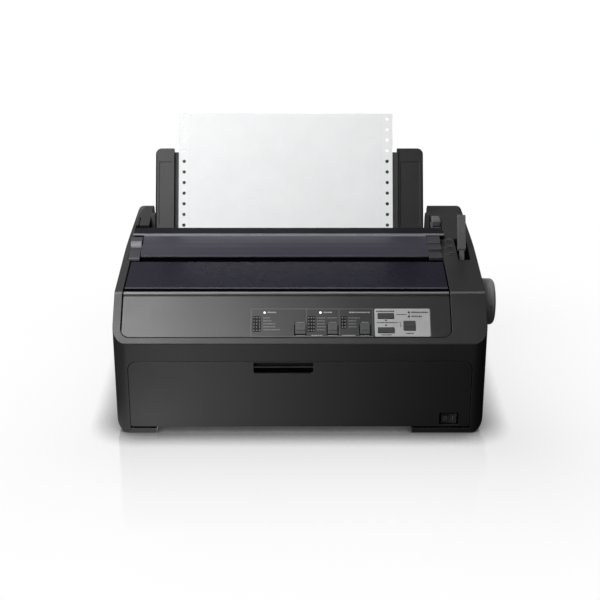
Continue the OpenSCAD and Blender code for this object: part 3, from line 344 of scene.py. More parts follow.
def paper():
    k = Mat("mat_paper")
    x, y, z = k.xyz()
    # distance to the nearer long edge of the sheet
    cx = (-17) / 1000 + SX
    d = k.math("SUBTRACT", 0.127, k.math("ABSOLUTE", k.math("SUBTRACT", x, cx)))
    strip = k.rng(d, 0.0127, 0.0132, 1.0, 0.0)
    fibre = k.noise(900, 5, 0.7)
    cloud = k.noise(45, 4, 0.6)
    body = k.mix(k.rng(cloud, 0.3, 0.7, 0, 1), (0.715, 0.712, 0.710), (0.745, 0.742, 0.740))
    col = k.mix(strip, body, (0.735, 0.733, 0.732))
    # perforated tear line between strip and sheet
    dash = k.rng(k.wave(120, vec=k.mapped(scale=(1, 1, 1)), direction="Z"), 0.45, 0.55, 0, 1)
    line = k.math("LESS_THAN", k.math("ABSOLUTE", k.math("SUBTRACT", d, 0.0129)), 0.00022)
    cut = k.math("MULTIPLY", line, dash)
    col = k.mix(k.math("MULTIPLY", cut, 0.35), col, (0.45, 0.45, 0.45))
    h = k.math("ADD", k.math("MULTIPLY", fibre, 0.5), k.math("MULTIPLY", k.noise(14, 2), 1.2))
    k.set(color=col, rough=k.rng(fibre, 0.3, 0.7, 0.78, 0.92), normal=k.bump(h, 0.12, 0.0002), spec=0.25, subsurface=0.05)
    return k.m


def rubber(name, c0, c1, rough=(0.62, 0.8), ring=None):
    k = Mat(name)
    n1 = k.noise(700, 4, 0.7)
    col = k.mix(k.rng(k.noise(20, 4), 0.3, 0.7, 0, 1), c0, c1)
    dust = k.rng(k.noise(60, 5), 0.5, 0.8, 0, 0.25)
    col = k.mix(dust, col, tuple(min(1, c * 1.8 + 0.02) for c in c1))
    h = n1
    if ring:
        h = k.math("ADD", n1, k.math("MULTIPLY", k.noise(1, 1, 0.5, vec=k.mapped(scale=ring)), 0.8))
    k.set(color=col, rough=k.rng(n1, 0.3, 0.7, rough[0], rough[1]), normal=k.bump(h, 0.16, 0.0001), spec=0.35)
    return k.m


def board():
    """Green solder-masked board with copper traces and pads; parts above it are black."""
    k = Mat("mat_board")
    tr = k.node("ShaderNodeTexBrick")
    tr.inputs["Scale"].default_value = 1
    k.link(k.mapped(scale=(110, 110, 110), rot=(0, 0, 0.0)), tr.inputs["Vector"])
    tr.inputs["Color1"].default_value = (0.010, 0.085, 0.035, 1)
    tr.inputs["Color2"].default_value = (0.014, 0.10, 0.045, 1)
    tr.inputs["Mortar"].default_value = (0.03, 0.20, 0.08, 1)
    tr.inputs["Mortar Size"].default_value = 0.03
    pads = k.rng(k.voronoi(260, rand=0.25), 0.16, 0.2, 1, 0)
    col = k.mix(pads, tr.outputs[0], (0.62, 0.55, 0.38))
    x, y, z = k.xyz()
    g = k.node("ShaderNodeNewGeometry")
    sep = k.node("ShaderNodeSeparateXYZ")
    k.link(g.outputs["Position"], sep.inputs[0])
    chip = k.math("MULTIPLY", k.math("GREATER_THAN", z, 0.01775 + SZ), k.math("LESS_THAN", z, 0.05))
    col = k.mix(chip, col, (0.02, 0.02, 0.022))
    k.set(color=col, rough=k.rng(k.noise(300, 3), 0.3, 0.7, 0.3, 0.45), normal=k.bump(tr.outputs["Fac"], 0.1, 0.0001), spec=0.5)
    return k.m


def supply():
    """Power supply: yellow-brown board, laminated transformer, finned plate, sleeved capacitor."""
    k = Mat("mat_supply")
    x, y, z = k.xyz()
    lam = k.wave(900, direction="X")
    iron = k.mix(k.rng(lam, 0.3, 0.7, 0, 1), (0.07, 0.068, 0.065), (0.16, 0.155, 0.15))
    sleeve = k.mix(k.rng(k.noise(40, 3), 0.3, 0.7, 0, 1), (0.03, 0.05, 0.16), (0.05, 0.08, 0.22))
    alu = k.mix(k.noise(300, 3), (0.45, 0.45, 0.46), (0.6, 0.6, 0.61))
    base = k.mix(k.noise(150, 4), (0.30, 0.20, 0.08), (0.38, 0.26, 0.11))
    is_cap = k.math("LESS_THAN", x, (-80) / 1000 + SX)
    is_sink = k.math("GREATER_THAN", x, (-44) / 1000 + SX)
    tall = k.math("GREATER_THAN", z, 0.01775 + SZ)
    part = k.mix(is_sink, k.mix(is_cap, iron, sleeve), alu)
    k.set(color=k.mix(tall, base, part), rough=k.rng(lam, 0, 1, 0.35, 0.55), normal=k.bump(lam, 0.1, 0.0001), spec=0.5)
    return k.m


def flex():
    k = Mat("mat_flex")
    x, y, z = k.xyz()
    w = k.wave(1, vec=k.mapped(scale=(780, 1, 1)), direction="X")
    col = k.mix(k.rng(w, 0.4, 0.6, 0, 1), (0.42, 0.30, 0.13), (0.62, 0.47, 0.24))
    k.set(color=col, rough=k.rng(k.noise(200, 3), 0.3, 0.7, 0.3, 0.42), normal=k.bump(w, 0.15, 0.0001))
    return k.m


def lens():
    """Clear light pipes that glow a little; the two in the silver label are dark."""
    k = Mat("mat_lens")
    n1 = k.noise(1200, 2)
    x, y, z = k.xyz()
    off = k.math("GREATER_THAN", x, 0.100 + SX)
    col = k.mix(off, k.mix(n1, (0.80, 0.84, 0.86), (0.95, 0.97, 1.0)), k.mix(n1, (0.016, 0.016, 0.018), (0.03, 0.03, 0.032)))
    k.set(color=col, rough=k.rng(n1, 0.3, 0.7, 0.18, 0.3), normal=k.bump(n1, 0.1, 0.0001), coat=0.3,
          emit=(0.93, 0.97, 1.0), emit_s=k.rng(off, 0, 1, 0.9, 0.0))
    return k.m


def dark_lens():
    k = Mat("mat_dark_lens")
    n1 = k.noise(1200, 2)
    k.set(color=k.mix(n1, (0.016, 0.016, 0.018), (0.03, 0.03, 0.032)), rough=k.rng(n1, 0.3, 0.7, 0.2, 0.35), normal=k.bump(n1, 0.1, 0.0001), coat=0.3)
    return k.m


def ink(name, c0, c1, rough=(0.45, 0.6), spec=0.5):
    """Screen-printed ink."""
    k = Mat(name)
    n1 = k.noise(1600, 4, 0.7)
    k.set(color=k.mix(k.rng(n1, 0.3, 0.7, 0, 1), c0, c1), rough=k.rng(n1, 0.3, 0.7, rough[0], rough[1]), normal=k.bump(n1, 0.1, 0.00005), spec=spec)
    return k.m


def silver_film():
    k = Mat("mat_silver_film")
    brush = k.noise(1, 2, 0.6, vec=k.mapped(scale=(14, 2400, 2400)))
    cloud = k.noise(60, 3)
    col = k.mix(k.rng(cloud, 0.3, 0.7, 0, 1), (0.270, 0.270, 0.270), (0.305, 0.305, 0.307))
    e, n = k.edge(0.0003)
    # painted highlight along the edges
    col = k.mix(k.math("MULTIPLY", e, 0.6), col, (0.5, 0.5, 0.5))
    k.set(color=col, metallic=0.25, rough=k.rng(brush, 0.25, 0.75, 0.38, 0.5), normal=k.bump(brush, 0.06, 0.00005, n))
    return k.m


def span(name):
    """First and last x of a node in the local frame, mm."""
    o = N[name]
    xs = [(o.matrix_world @ Vector(c))[0] for c in o.bound_box]
    return (min(xs) - SX) * 1000, (max(xs) - SX) * 1000


PX0, PX1 = span("control_panel")
CX0, CX1 = span("printer_cover")
GX0, GX1 = span("edge_guide_left")[0], span("edge_guide_right")[1]

M = {
    # case: painted highlight, a lighter band along the top edge of the front face where it meets the slope
    "case": moulded("mat_case", (0.0066, 0.0066, 0.0070), (0.0092, 0.0092, 0.0096), rough=(0.36, 0.46), grain_bump=0.14, edge_gain=2.0,
                    painted_highlight=((-200, 200, -1, 6, 97.3, 102.9),), painted_highlight_colour=(0.045, 0.045, 0.046)),
    # housing: painted highlight, a lighter band along the crease on both side rims
    "housing": moulded("mat_housing", (0.0090, 0.0089, 0.0096), (0.0122, 0.0121, 0.0128), rough=(0.36, 0.46), grain_bump=0.14, edge_gain=2.2, edge_r=0.0008, spec=0.40,
                       painted_highlight=((-198, -150, 41.6, 43.9, 140, 147), (150, 198, 41.6, 43.9, 140, 147)), painted_highlight_colour=(0.075, 0.075, 0.078)),
    # panel: painted highlight, a lighter band along the crease at its top; painted shade, near-black strips along both
    # side edges for the gaps to the rims
    "panel": moulded("mat_panel", (0.0078, 0.0078, 0.0078), (0.0100, 0.0100, 0.0100), rough=(0.32, 0.38), grain=2200, grain_bump=0.06, edge_r=0.0009, edge_gain=2.5,
                     painted_highlight=((PX0, PX1, 41.6, 44.5, 140, 147),), painted_highlight_colour=(0.14, 0.14, 0.142), dark=((-250, PX0 + 0.9, -5, 60, 90, 160), (PX1 - 0.9, 250, -5, 60, 90, 160))),
    # painted shade: a near-black strip along the left guide's outer edge
    "guide": moulded("mat_guide", (0.0125, 0.0125, 0.0130), (0.0165, 0.0165, 0.0170), rough=(0.40, 0.50), grain_bump=0.14, dark=((GX0 - 5, GX0 + 1.3, 100, 400, 100, 400),)),
    # painted shade: the right guide is a darker copy of the guide material, for the smaller share of light it gets,
    # with a near-black strip along its outer edge
    "guide_right": moulded("mat_guide_right_shaded", (0.0080, 0.0080, 0.0084), (0.0105, 0.0105, 0.0108), rough=(0.40, 0.50), grain_bump=0.14, spec=0.4,
                           dark=((GX1 - 1.3, GX1 + 5, 100, 400, 100, 400),)),
    "bracket": zoned("mat_bracket", (0.0065, 0.0065, 0.0070), (0.075, 0.075, 0.080), ((154.5, 166, 208, 231, 156.5, 160.2),), (0.50, 0.60)),
    "key": moulded("mat_key", (0.026, 0.0272, 0.0272), (0.032, 0.0332, 0.0332), rough=(0.42, 0.5), grain=2600, grain_bump=0.08, edge_r=0.0005, edge_gain=1.6),
    "key_dark": moulded("mat_key_dark", (0.0105, 0.0108, 0.0118), (0.0150, 0.0153, 0.0163), rough=(0.5, 0.6), grain=2600, grain_bump=0.1, edge_r=0.0005, edge_gain=1.6),
    # printer cover: painted highlight along its front edge; painted shade on its front lip and along the gaps at both
    # sides
    "smoked": smoked("mat_smoked", (0.0080, 0.0073, 0.0138), (0.0100, 0.0092, 0.0168), (0.24, 0.30), 0.99, (0.035, 0.034, 0.042), gloss=0.09,
                     painted_highlight=((CX0, CX1, 50.2, 52.6, 130, 160),),
                     dark=((CX0, CX1, 42, 49.6, 130, 160), (CX0 - 3, CX0 + 1.2, 42, 130, 130, 170), (CX1 - 1.2, CX1 + 3, 42, 130, 130, 170))),
    # tension unit: painted highlight on the ridge; painted shade on the apron under the band's lower edge and in a thin
    # line in front of the ridge; matt and painted darker behind the ridge
    "smoked_tension": smoked("mat_smoked_tension", (0.030, 0.0285, 0.039), (0.038, 0.0363, 0.048), (0.28, 0.36), 1.0, (0.13, 0.128, 0.15), matt_from=171.7, gloss=0.22,
                             painted_highlight=((-250, 250, 168.9, 171.7, 150, 180),), dark=((-250, 250, 120, 128.6, 140, 151.8), (-250, 250, 167.7, 168.9, 150, 180))),
    # tension tabs: painted highlight, a lighter band along the left tab's lower front edge; the left tab's top rear
    # part is lighter as well
    "tab": zoned("mat_tab", (0.026, 0.0248, 0.030), (0.105, 0.103, 0.117), ((-192, -179, 145, 150.5, 157, 166), (-192, -179, 119, 120.7, 150, 155)), (0.40, 0.48), 0.06,
                 black=((144, 160, 135.9, 137.7, 150, 170), (144, 160, 148.9, 150.3, 150, 170))),
    "tear": moulded("mat_tear", (0.13, 0.13, 0.148), (0.17, 0.17, 0.188), rough=(0.25, 0.34), grain=2400, grain_bump=0.05, edge_gain=1.5),
    # knob: its grey is partly its own and partly painted light, raised to stand in for light from the right that no
    # lamp here gives
    "knob": moulded("mat_knob", (0.370, 0.370, 0.380), (0.420, 0.420, 0.430), rough=(0.42, 0.52), grain_bump=0.12, edge_gain=1.35),
    "lever": moulded("mat_lever", (0.066, 0.066, 0.0685), (0.082, 0.082, 0.0845), rough=(0.36, 0.46), grain_bump=0.10, edge_gain=1.5),
    "blue": moulded("mat_blue", (0.035, 0.055, 0.11), (0.05, 0.075, 0.14), rough=(0.36, 0.46), grain_bump=0.10, edge_gain=1.4),
    "carriage": moulded("mat_carriage", (0.022, 0.022, 0.024), (0.034, 0.034, 0.036), rough=(0.42, 0.55), grain_bump=0.14),
    "nylon": moulded("mat_nylon", (0.66, 0.62, 0.52), (0.75, 0.71, 0.61), rough=(0.36, 0.5), grain=1800, grain_bump=0.08, edge_gain=1.1),
    "socket": moulded("mat_socket", (0.011, 0.011, 0.0118), (0.017, 0.017, 0.018), rough=(0.32, 0.42), grain_bump=0.08),
    "cartridge": moulded("mat_cartridge", (0.017, 0.017, 0.0185), (0.024, 0.024, 0.0255), rough=(0.40, 0.5), grain_bump=0.14),
    "plate": steel("mat_plate", (0.50, 0.51, 0.52), (0.62, 0.63, 0.63), (0.26, 0.42)),
    "rod": steel("mat_rod", (0.62, 0.63, 0.64), (0.74, 0.75, 0.76), (0.12, 0.24), brush=(2600, 30, 30), bump=0.02),
    "brass": steel("mat_brass", (0.62, 0.47, 0.22), (0.74, 0.58, 0.30), (0.22, 0.34)),
    "motor": steel("mat_motor", (0.10, 0.10, 0.105), (0.16, 0.16, 0.165), (0.34, 0.5)),
    "head": steel("mat_head", (0.18, 0.185, 0.19), (0.26, 0.265, 0.27), (0.32, 0.46)),
    "screw": steel("mat_screw", (0.5, 0.5, 0.5), (0.66, 0.66, 0.66), (0.24, 0.38)),
    "platen": rubber("mat_platen", (0.012, 0.012, 0.012), (0.02, 0.02, 0.02), rough=(0.5, 0.66), ring=(900, 2, 2)),
    "foot": rubber("mat_foot", (0.02, 0.02, 0.02), (0.035, 0.035, 0.034)),
    "belt": rubber("mat_belt", (0.01, 0.01, 0.011), (0.018, 0.018, 0.019)),
    "paper": paper(),
    "board": board(),
    "supply": supply(),
    "flex": flex(),
    "lens": lens(),
    "dark_lens": dark_lens(),
    "print": ink("mat_print", (0.22, 0.22, 0.22), (0.30, 0.30, 0.30)),
    "print_dim": ink("mat_print_dim", (0.085, 0.088, 0.086), (0.12, 0.124, 0.122)),
    "dot": ink("mat_dot", (0.42, 0.43, 0.42), (0.52, 0.53, 0.52)),
    "black": ink("mat_black", (0.003, 0.003, 0.0032), (0.006, 0.006, 0.0062), (0.88, 0.98), 0.08),
    "grey_ink": ink("mat_grey_ink", (0.018, 0.018, 0.018), (0.030, 0.030, 0.030), (0.7, 0.85), 0.2),
    "mark": ink("mat_mark", (0.060, 0.060, 0.063), (0.085, 0.085, 0.088)),
    "film": silver_film(),
    "latch": moulded("mat_latch", (0.070, 0.070, 0.075), (0.082, 0.082, 0.087), rough=(0.42, 0.52), grain_bump=0.12),
}
LOOK = {
    "lower_case": "case", "upper_housing": "housing", "rubber_feet": "foot", "front_cover": "case", "control_panel": "panel", "panel_label": "film",
    "status_lights": "lens", "circuit_boards": "board", "key_left": "key", "key_middle": "key", "key_right": "key", "feed_key": "key_dark",
    "load_key": "key_dark", "pause_key": "key_dark", "printer_cover": "smoked", "tension_unit": "smoked_tension", "tension_tabs": "tab",
    "tear_off_edge": "tear", "tension_rollers": "platen", "guide_brackets": "bracket", "paper_guide": "guide", "edge_guide_left": "guide",
    "edge_guide_right": "guide_right", "fanfold_paper": "paper", "chassis_pan": "plate", "side_frame_left": "plate", "side_frame_right": "plate",
    "guide_rods": "rod", "paper_path_plate": "plate", "platen_bushings": "nylon", "platen_roller": "platen", "platen_shaft": "rod",
    "platen_gear": "nylon", "platen_knob": "knob", "stepper_motors": "motor", "motor_pinion": "brass", "idler_gear": "nylon",
    "tractor_idler_gear": "nylon", "tractor_shaft": "rod", "tractor_gear": "nylon", "tractor_left": "carriage", "tractor_right": "carriage",
    "tractor_wheel_left": "nylon", "tractor_wheel_right": "nylon", "tractor_flap_left": "carriage", "tractor_flap_right": "carriage",
    "carriage": "carriage", "print_head": "head", "head_cable": "flex", "drive_pulley": "brass", "idler_pulley": "brass", "timing_belt": "belt",
    "ribbon_cartridge": "cartridge", "ribbon_knob": "blue", "release_lever": "lever", "thickness_lever": "blue", "power_supply": "supply",
    "rear_sockets": "socket", "power_rocker": "key_dark", "screws": "screw",
}
for name, o in N.items():
    o.data.materials.clear()
    o.data.materials.append(M[LOOK[name]])


# ---------------------------------------------------------------- detail pieces
def make(name, bm, mat, body, smooth=False):
    me = bpy.data.meshes.new(name)
    bmesh.ops.recalc_face_normals(bm, faces=bm.faces)
    bm.to_mesh(me)
    bm.free()
    o = bpy.data.objects.new(name, me)
    bpy.context.scene.collection.objects.link(o)
    me.materials.append(mat)
    if smooth:
        for p in me.polygons:
            p.use_smooth = True
    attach(o, body)
    return o


def slab(bm, place, outline, n0, n1):
    """A closed plate: outline points (x, u) on the surface that place() maps, from height n0 to n1."""
    lo = [bm.verts.new(place(x, u, n0)) for x, u in outline]
    hi = [bm.verts.new(place(x, u, n1)) for x, u in outline]
    bm.faces.new(hi)
    bm.faces.new(list(reversed(lo)))
    k = len(outline)
    for i in range(k):
        bm.faces.new((lo[i], lo[(i + 1) % k], hi[(i + 1) % k], hi[i]))


def rect(x0, x1, u0, u1, r=0.0, seg=3):
    if r <= 0:
        return [(x0, u0), (x1, u0), (x1, u1), (x0, u1)]
    pts = []
    for cx, cu, a in ((x1 - r, u0 + r, -90), (x1 - r, u1 - r, 0), (x0 + r, u1 - r, 90), (x0 + r, u0 + r, 180)):
        for i in range(seg + 1):
            t = math.radians(a + 90 * i / seg)
            pts.append((cx + r * math.cos(t), cu + r * math.sin(t)))
    return pts


def disc(cx, cu, r, seg=14):
    return [(cx + r * math.cos(2 * math.pi * i / seg), cu + r * math.sin(2 * math.pi * i / seg)) for i in range(seg)]


PR0, PR1 = 0.02, 0.09          # printed pieces stand this far out of the panel, mm

# outlined label on the panel with its dividers
bm = bmesh.new()
w = 0.35
for a in (rect(-51.8, 77, 39.75, 40.1), rect(-51.8, 77, 8.3, 8.65), rect(-51.8, -51.45, 8.65, 39.75), rect(76.65, 77, 8.65, 39.75),
          rect(6.85, 7.15, 8.65, 39.75), rect(41.05, 41.35, 8.65, 39.75)):
    slab(bm, on_slope, a, PR0, PR1)
make("panel_outline", bm, M["print_dim"], "base")

# darker ink field of the label: built here, then freed below without being made
bm = bmesh.new()
slab(bm, on_slope, rect(-51.6, 76.8, 8.5, 39.9), 0.004, 0.018)
KEYS = [(-4.9, 6, 11, 23.1), (29.3, 39.4, 11, 23.1), (63.4, 73.4, 11, 23.1)]


def caption(bm, x, u, length, h, rnd, gap=0.55):
    """A line of bars that stands for small print."""
    end = x + length
    while x < end - 0.4:
        b = min(rnd.uniform(0.7, 2.6), end - x)
        slab(bm, on_slope, rect(x, x + b, u, u + h), PR0, PR1)
        x += b + gap


bm.free()
rnd = random.Random(7)
light_bm, dim_bm = bmesh.new(), bmesh.new()
# left field: five rows of captions beside the dot grid, title beside the light
for i, ln in enumerate((7.0, 9.0, 12.5, 13.0, 18.0)):
    caption(dim_bm, -38.6, 29.0 - i * 3.35, ln, 1.1, rnd)
caption(light_bm, -34.2, 35.3, 9.0, 1.3, rnd)
caption(light_bm, -4.2, 9.2, 9.4, 0.9, rnd)
# middle field
for i, ln in enumerate((9.5, 8.0, 9.0, 9.5, 8.5)):
    caption(dim_bm, 18.0, 29.0 - i * 3.35, ln, 1.1, rnd)
caption(light_bm, 25.0, 35.3, 9.5, 1.3, rnd)
caption(dim_bm, 29.0, 29.2, 10.0, 1.0, rnd)
caption(light_bm, 12.0, 9.2, 12.0, 0.9, rnd)
caption(light_bm, 29.5, 9.2, 9.6, 0.9, rnd)
# right field
for i, ln in enumerate((12.5, 8.5, 8.0, 8.0)):
    caption(dim_bm, 51.2, 29.0 - i * 3.35, ln, 1.1, rnd)
caption(light_bm, 52.0, 35.3, 22.0, 1.3, rnd)
caption(light_bm, 44.0, 9.2, 14.0, 0.9, rnd)
caption(light_bm, 63.6, 9.2, 9.6, 0.9, rnd)
# short marks above each grey key
for k in KEYS:
    slab(light_bm, on_slope, rect(k[0] + 1.2, k[1] - 1.2, k[3] + 1.3, k[3] + 1.65), PR0, PR1)
make("panel_captions", light_bm, M["print"], "base")
make("panel_captions_dim", dim_bm, M["print_dim"], "base")

# dot grids: black fields with pale dots
grid_and_key_shade_bm, dot_bm = bmesh.new(), bmesh.new()
for x0, x1, u0, u1, nx, nu in ((-49.9, -41.2, 13.8, 31.5, 3, 5), (7.9, 16.0, 13.8, 31.5, 3, 5), (43.2, 48.9, 17.4, 31.5, 2, 4)):
    for i in range(nx):
        for j in range(nu):
            cx = x0 + (i + 0.5) * (x1 - x0) / nx
            cu = u0 + (j + 0.5) * (u1 - u0) / nu
            a, b = (x1 - x0) / nx / 2 - 0.10, (u1 - u0) / nu / 2 - 0.14
            slab(grid_and_key_shade_bm, on_slope, rect(cx - a, cx + a, cu - b, cu + b, 0.3), PR0, PR1)
            slab(dot_bm, on_slope, disc(cx, cu, 0.42), PR1 + 0.005, PR1 + 0.07)
# painted shadow: a black line in the gap round the sides and the foot of each grey key
for x0, x1, u0, u1 in KEYS:
    slab(grid_and_key_shade_bm, on_slope, [(x0 - 1.25, u1 - 1.5), (x0 - 1.25, u0 - 1.35), (x1 + 1.25, u0 - 1.35), (x1 + 1.25, u1 - 1.5), (x1 + 0.32, u1 - 1.5),
                             (x1 + 0.32, u0 - 0.32), (x0 - 0.32, u0 - 0.32), (x0 - 0.32, u1 - 1.5)], PR0, PR1)
make("panel_dot_fields_and_key_shade", grid_and_key_shade_bm, M["black"], "base")
make("panel_dots", dot_bm, M["dot"], "base")

# lenses of the four lights, domed
for i, (x, u, dark) in enumerate(((-37.4, 35.8, False), (21.6, 35.8, False), (115, 35.8, True), (115, 31.2, True))):
    bm = bmesh.new()
    rings = []
    R = 1.0 if not dark else 0.95
    for s in range(5):
        a = math.radians(90 * s / 4)
        rings.append([bm.verts.new(on_slope(x + R * math.cos(a) * math.cos(t), u + R * math.cos(a) * math.sin(t), 0.22 + 0.45 * math.sin(a)))
                      for t in [2 * math.pi * q / 20 for q in range(20)]] if s < 4 else [bm.verts.new(on_slope(x, u, 0.67))])
    base = [bm.verts.new(on_slope(x + R * math.cos(t), u + R * math.sin(t), -0.2)) for t in [2 * math.pi * q / 20 for q in range(20)]]
    bm.faces.new(list(reversed(base)))
    for q in range(20):
        bm.faces.new((base[q], base[(q + 1) % 20], rings[0][(q + 1) % 20], rings[0][q]))
    for s in range(3):
        for q in range(20):
            bm.faces.new((rings[s][q], rings[s][(q + 1) % 20], rings[s + 1][(q + 1) % 20], rings[s + 1][q]))
    for q in range(20):
        bm.faces.new((rings[3][q], rings[3][(q + 1) % 20], rings[4][0]))
    make(f"light_lens_{i + 1}", bm, M["dark_lens"] if dark else M["lens"], "base", smooth=True)

# prints on the silver label: it stands 0.2 above the panel
bm = bmesh.new()
rnd = random.Random(11)


def bar_line(bm, x, u, length, h):
    end = x + length
    while x < end - 0.3:
        b = min(rnd.uniform(0.6, 2.2), end - x)
        slab(bm, on_slope, rect(x, x + b, u, u + h), 0.205, 0.26)
        x += b + 0.45


bar_line(bm, 80.5, 36.3, 19.5, 1.5)
bar_line(bm, 81.0, 23.6, 22.0, 1.2)
bar_line(bm, 85.5, 9.6, 11.0, 1.2)
bar_line(bm, 117.6, 35.1, 17.5, 1.6)
bar_line(bm, 117.6, 30.5, 11.0, 1.6)
bar_line(bm, 102.0, 32.9, 8.5, 1.0)
bar_line(bm, 111.0, 11.2, 8.5, 1.2)
for x, u in ((90.6, 26.7), (90.6, 21.2)):
    slab(bm, on_slope, [(x - 1.25, u), (x, u - 1.25), (x + 1.25, u), (x, u + 1.25)], 0.205, 0.26)
slab(bm, on_slope, [(111.2, 32.5), (112.8, 33.4), (111.2, 34.3)], 0.205, 0.26)
for a in (rect(105.6, 106.0, 19.0, 24.6), rect(104.2, 106.0, 24.2, 24.6), rect(106.0, 108.2, 20.4, 20.8)):
    slab(bm, on_slope, a, 0.205, 0.26)
make("label_marks", bm, M["grey_ink"], "base")

# I and O on the power rocker
bm = bmesh.new()


def on_rocker(v, z, n):
    """v across the rocker's outer face from its pivot line, z up, n out of it."""
    x = 159.5 + v
    # the face runs (151.5, 2.3) - (159.5, 2.5) - (167.5, 0.3)
    y = 2.3 + (v + 8) / 8 * 0.2 if v < 0 else 2.5 - v / 8 * 2.2
    return P(x, y - n, z)


slab(bm, on_rocker, rect(3.6, 4.2, 12.6, 17.4), 0.03, 0.12)
ring_o = disc(-4.2, 15, 2.2, 20)
ring_i = disc(-4.2, 15, 1.65, 20)
vo = [[bm.verts.new(on_rocker(x, z, n)) for x, z in ring] for ring in (ring_o, ring_i) for n in (0.03, 0.12)]
for q in range(20):
    r = (q + 1) % 20
    bm.faces.new((vo[1][q], vo[1][r], vo[3][r], vo[3][q]))
    bm.faces.new((vo[0][q], vo[2][q], vo[2][r], vo[0][r]))
    bm.faces.new((vo[0][q], vo[0][r], vo[1][r], vo[1][q]))
    bm.faces.new((vo[2][q], vo[3][q], vo[3][r], vo[2][r]))
make("rocker_marks", bm, M["print_dim"], "power_rocker")

# plain printed marks on the deck beside the lever slot: a bar, a sheet and a stack of sheets
RAMP = math.atan(0.1063)


def on_ramp(x, y, n):
    z = 103 + 42.7 * math.tan(SLOPE) + (y - 42.7) * 0.1063
    return P(x, y - n * math.sin(RAMP), z + n * math.cos(RAMP))


bm = bmesh.new()
for i in range(3):
    y = 132 + i * 17
    for j in range(i + 1):
        slab(bm, on_ramp, rect(168.2 + j * 0.9, 172.4 + j * 0.9, y + 3.6 + j * 1.2, y + 4.2 + j * 1.2), 0.02, 0.10)
    slab(bm, on_ramp, rect(161.6, 164.6, y - 0.3, y + 0.3), 0.02, 0.10)
    slab(bm, on_ramp, [(164.6, y - 1.0), (166.0, y), (164.6, y + 1.0)], 0.02, 0.10)
make("lever_marks", bm, M["mark"], "base")

# rounded cap on the right guide bracket
bm = bmesh.new()
slab(bm, lambda a, b, n: P(a, b, n), rect(155.2, 165.4, 210, 229, 1.2), 159.9, 166.2)
bmesh.ops.bevel(bm, geom=[e for e in bm.edges if all(v.co.z > P(0, 0, 166).z for v in e.verts)], offset=0.0009, segments=3, affect="EDGES")
make("latch_cap", bm, M["latch"], "base")

# painted shade: black crosses laid on the chassis screw heads stand for their cross recesses
bm = bmesh.new()
for x, y in [(a, b) for a in (30, 136) for b in (158, 220)] + [(a, b) for a in (-112, -28) for b in (205, 245)]:
    for o in (rect(x - 1.7, x + 1.7, y - 0.35, y + 0.35), rect(x - 0.35, x + 0.35, y - 1.7, y + 1.7)):
        slab(bm, lambda a, b, n: P(a, b, n), o, 19.605, 19.66 if o[0][0] < x - 1 else 19.67)
make("screw_recess_shade", bm, M["black"], "base")

# ---------------------------------------------------------------- stage
me = bpy.data.meshes.new("floor")
bm = bmesh.new()
S = 9.0
for x, y in ((-S, -S), (S, -S), (S, S), (-S, S)):
    bm.verts.new((x, y, 0))
bm.faces.new(bm.verts)
bm.to_mesh(me)
bm.free()
floor = bpy.data.objects.new("floor", me)
bpy.context.scene.collection.objects.link(floor)
fm = Mat("mat_floor")
n1 = fm.noise(3, 3)
fx, fy, fz = fm.xyz()
# seen directly the floor is white with a fading polish, with painted contact shadow where ambient occlusion finds the
# object close; what it throws back at the object falls off to the right
ao = fm.node("ShaderNodeAmbientOcclusion", samples=8)
ao.inputs["Distance"].default_value = 0.034
seen = fm.node("ShaderNodeEmission")
# painted contact shadow: the white darkens towards grey near the object through ambient occlusion
fm.link(fm.mix(fm.rng(fm.math("POWER", ao.outputs["AO"], 2.9), 0.0, 1.0, 0.0, 1.0), (0.05, 0.05, 0.05), fm.mix(n1, (1.0, 1.0, 1.0), (1.03, 1.03, 1.03))), seen.inputs["Color"])
polish = fm.node("ShaderNodeBsdfGlossy")
polish.inputs["Color"].default_value = (1, 1, 1, 1)
polish.inputs["Roughness"].default_value = 0.09
ax = fm.math("MAXIMUM", fm.math("SUBTRACT", fm.math("ABSOLUTE", fx), 0.19), 0.0)
ay = fm.math("MAXIMUM", fm.math("SUBTRACT", fm.math("ABSOLUTE", fy), 0.141), 0.0)
away = fm.math("SQRT", fm.math("ADD", fm.math("MULTIPLY", ax, ax), fm.math("MULTIPLY", ay, ay)))
fade = fm.math("MULTIPLY", fm.math("EXPONENT", fm.math("MULTIPLY", away, -9.0)), 0.34)
seen_mix = fm.node("ShaderNodeMixShader")
fm.link(fade, seen_mix.inputs[0])
fm.link(seen.outputs[0], seen_mix.inputs[1])
fm.link(polish.outputs[0], seen_mix.inputs[2])
back = fm.node("ShaderNodeEmission")
warm = fm.math("MULTIPLY", fm.rng(fx, -0.30, -0.17, 0.10, 1.0, True), fm.math("POWER", fm.rng(fx, -0.17, 0.22, 1.0, 0.08), 2.15))
near = fm.rng(fy, -0.17, -0.10, 1.0, 0.15, True)
fm.link(fm.math("ADD", fm.math("MULTIPLY", fm.math("MULTIPLY", warm, near), 1.55), 0.02), back.inputs["Strength"])
lp = fm.node("ShaderNodeLightPath")
ray_mix = fm.node("ShaderNodeMixShader")
fm.link(lp.outputs["Is Camera Ray"], ray_mix.inputs[0])
fm.link(back.outputs[0], ray_mix.inputs[1])
fm.link(seen_mix.outputs[0], ray_mix.inputs[2])
fm.link(ray_mix.outputs[0], fm.out.inputs[0])
fm.nt.nodes.remove(fm.b)
me.materials.append(fm.m)

world = bpy.data.worlds.new("world")
bpy.context.scene.world = world
world.use_nodes = True
wn = world.node_tree
wn.nodes.clear()


def wnode(kind, **k):
    n = wn.nodes.new(kind)
    for a, v in k.items():
        setattr(n, a, v)
    return n


def wrange(src, a, b, c, d):
    n = wnode("ShaderNodeMapRange")
    for key, v in (("From Min", a), ("From Max", b), ("To Min", c), ("To Max", d)):
        n.inputs[key].default_value = v
    wn.links.new(src, n.inputs["Value"])
    return n.outputs[0]


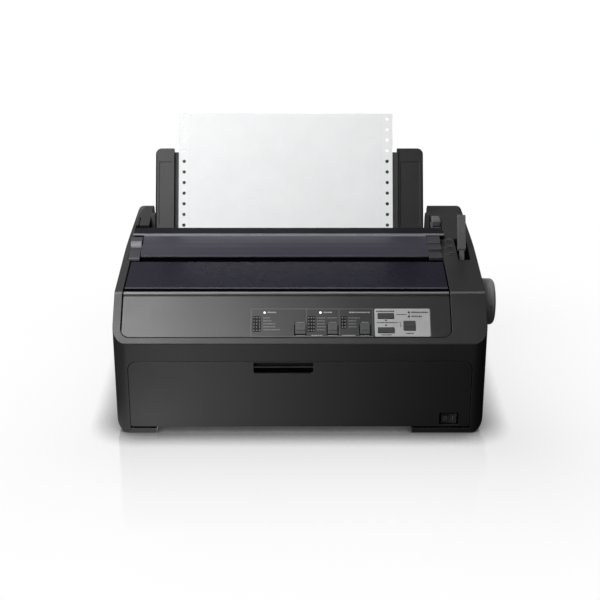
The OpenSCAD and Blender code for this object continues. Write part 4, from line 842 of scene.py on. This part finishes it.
def wmix(fac, a, b):
    n = wnode("ShaderNodeMix", data_type="FLOAT")
    wn.links.new(fac, n.inputs[0])
    for i, v in ((2, a), (3, b)):
        if isinstance(v, (int, float)):
            n.inputs[i].default_value = v
        else:
            wn.links.new(v, n.inputs[i])
    return n.outputs[0]


wo = wnode("ShaderNodeOutputWorld")
bg = wnode("ShaderNodeBackground")
tc = wnode("ShaderNodeTexCoord")
sep = wnode("ShaderNodeSeparateXYZ")
wl = wnode("ShaderNodeLightPath")
wn.links.new(tc.outputs["Generated"], sep.inputs[0])
# behind: a white sweep low down, dark above it; the right-hand side is darker than the left
low = wmix(wrange(sep.outputs["X"], 0.0, 0.35, 0, 1), 0.75, 0.22)
high = wmix(wrange(sep.outputs["X"], -0.15, 0.15, 0, 1), 0.50, 0.02)
band = wmix(wrange(sep.outputs["Z"], 0.42, 0.52, 0, 1), low, high)
ahead = wrange(sep.outputs["X"], -1, 1, 0.10, 0.02)
env = wmix(wrange(sep.outputs["Y"], -0.15, 0.15, 0, 1), ahead, band)
wn.links.new(wmix(wl.outputs["Is Camera Ray"], env, 1.0), bg.inputs["Strength"])
bg.inputs["Color"].default_value = (1, 1, 1, 1)
wn.links.new(bg.outputs[0], wo.inputs[0])


def area(name, loc, target, size, size_y, radiance, color=(1, 1, 1)):
    d = bpy.data.lights.new(name, "AREA")
    d.shape = "RECTANGLE"
    d.size, d.size_y = size, size_y
    d.energy = radiance * math.pi * size * size_y
    d.color = color
    o = bpy.data.objects.new(name, d)
    bpy.context.scene.collection.objects.link(o)
    o.location = loc
    o.rotation_euler = (Vector(target) - Vector(loc)).to_track_quat("-Z", "Y").to_euler()
    return o


area("soft_top_left", (-0.79, -0.57, 1.32), (-0.40, -0.35, 0.1), 1.4, 1.0, 9.7)
area("soft_paper", (-0.2, -2.6, 1.5), (-0.05, 0.07, 0.2), 0.9, 0.5, 2.0)

sc = bpy.context.scene
sc.view_settings.view_transform = "Standard"
sc.view_settings.look = "None"
sc.view_settings.exposure = 0.0
sc.view_settings.gamma = 1.0

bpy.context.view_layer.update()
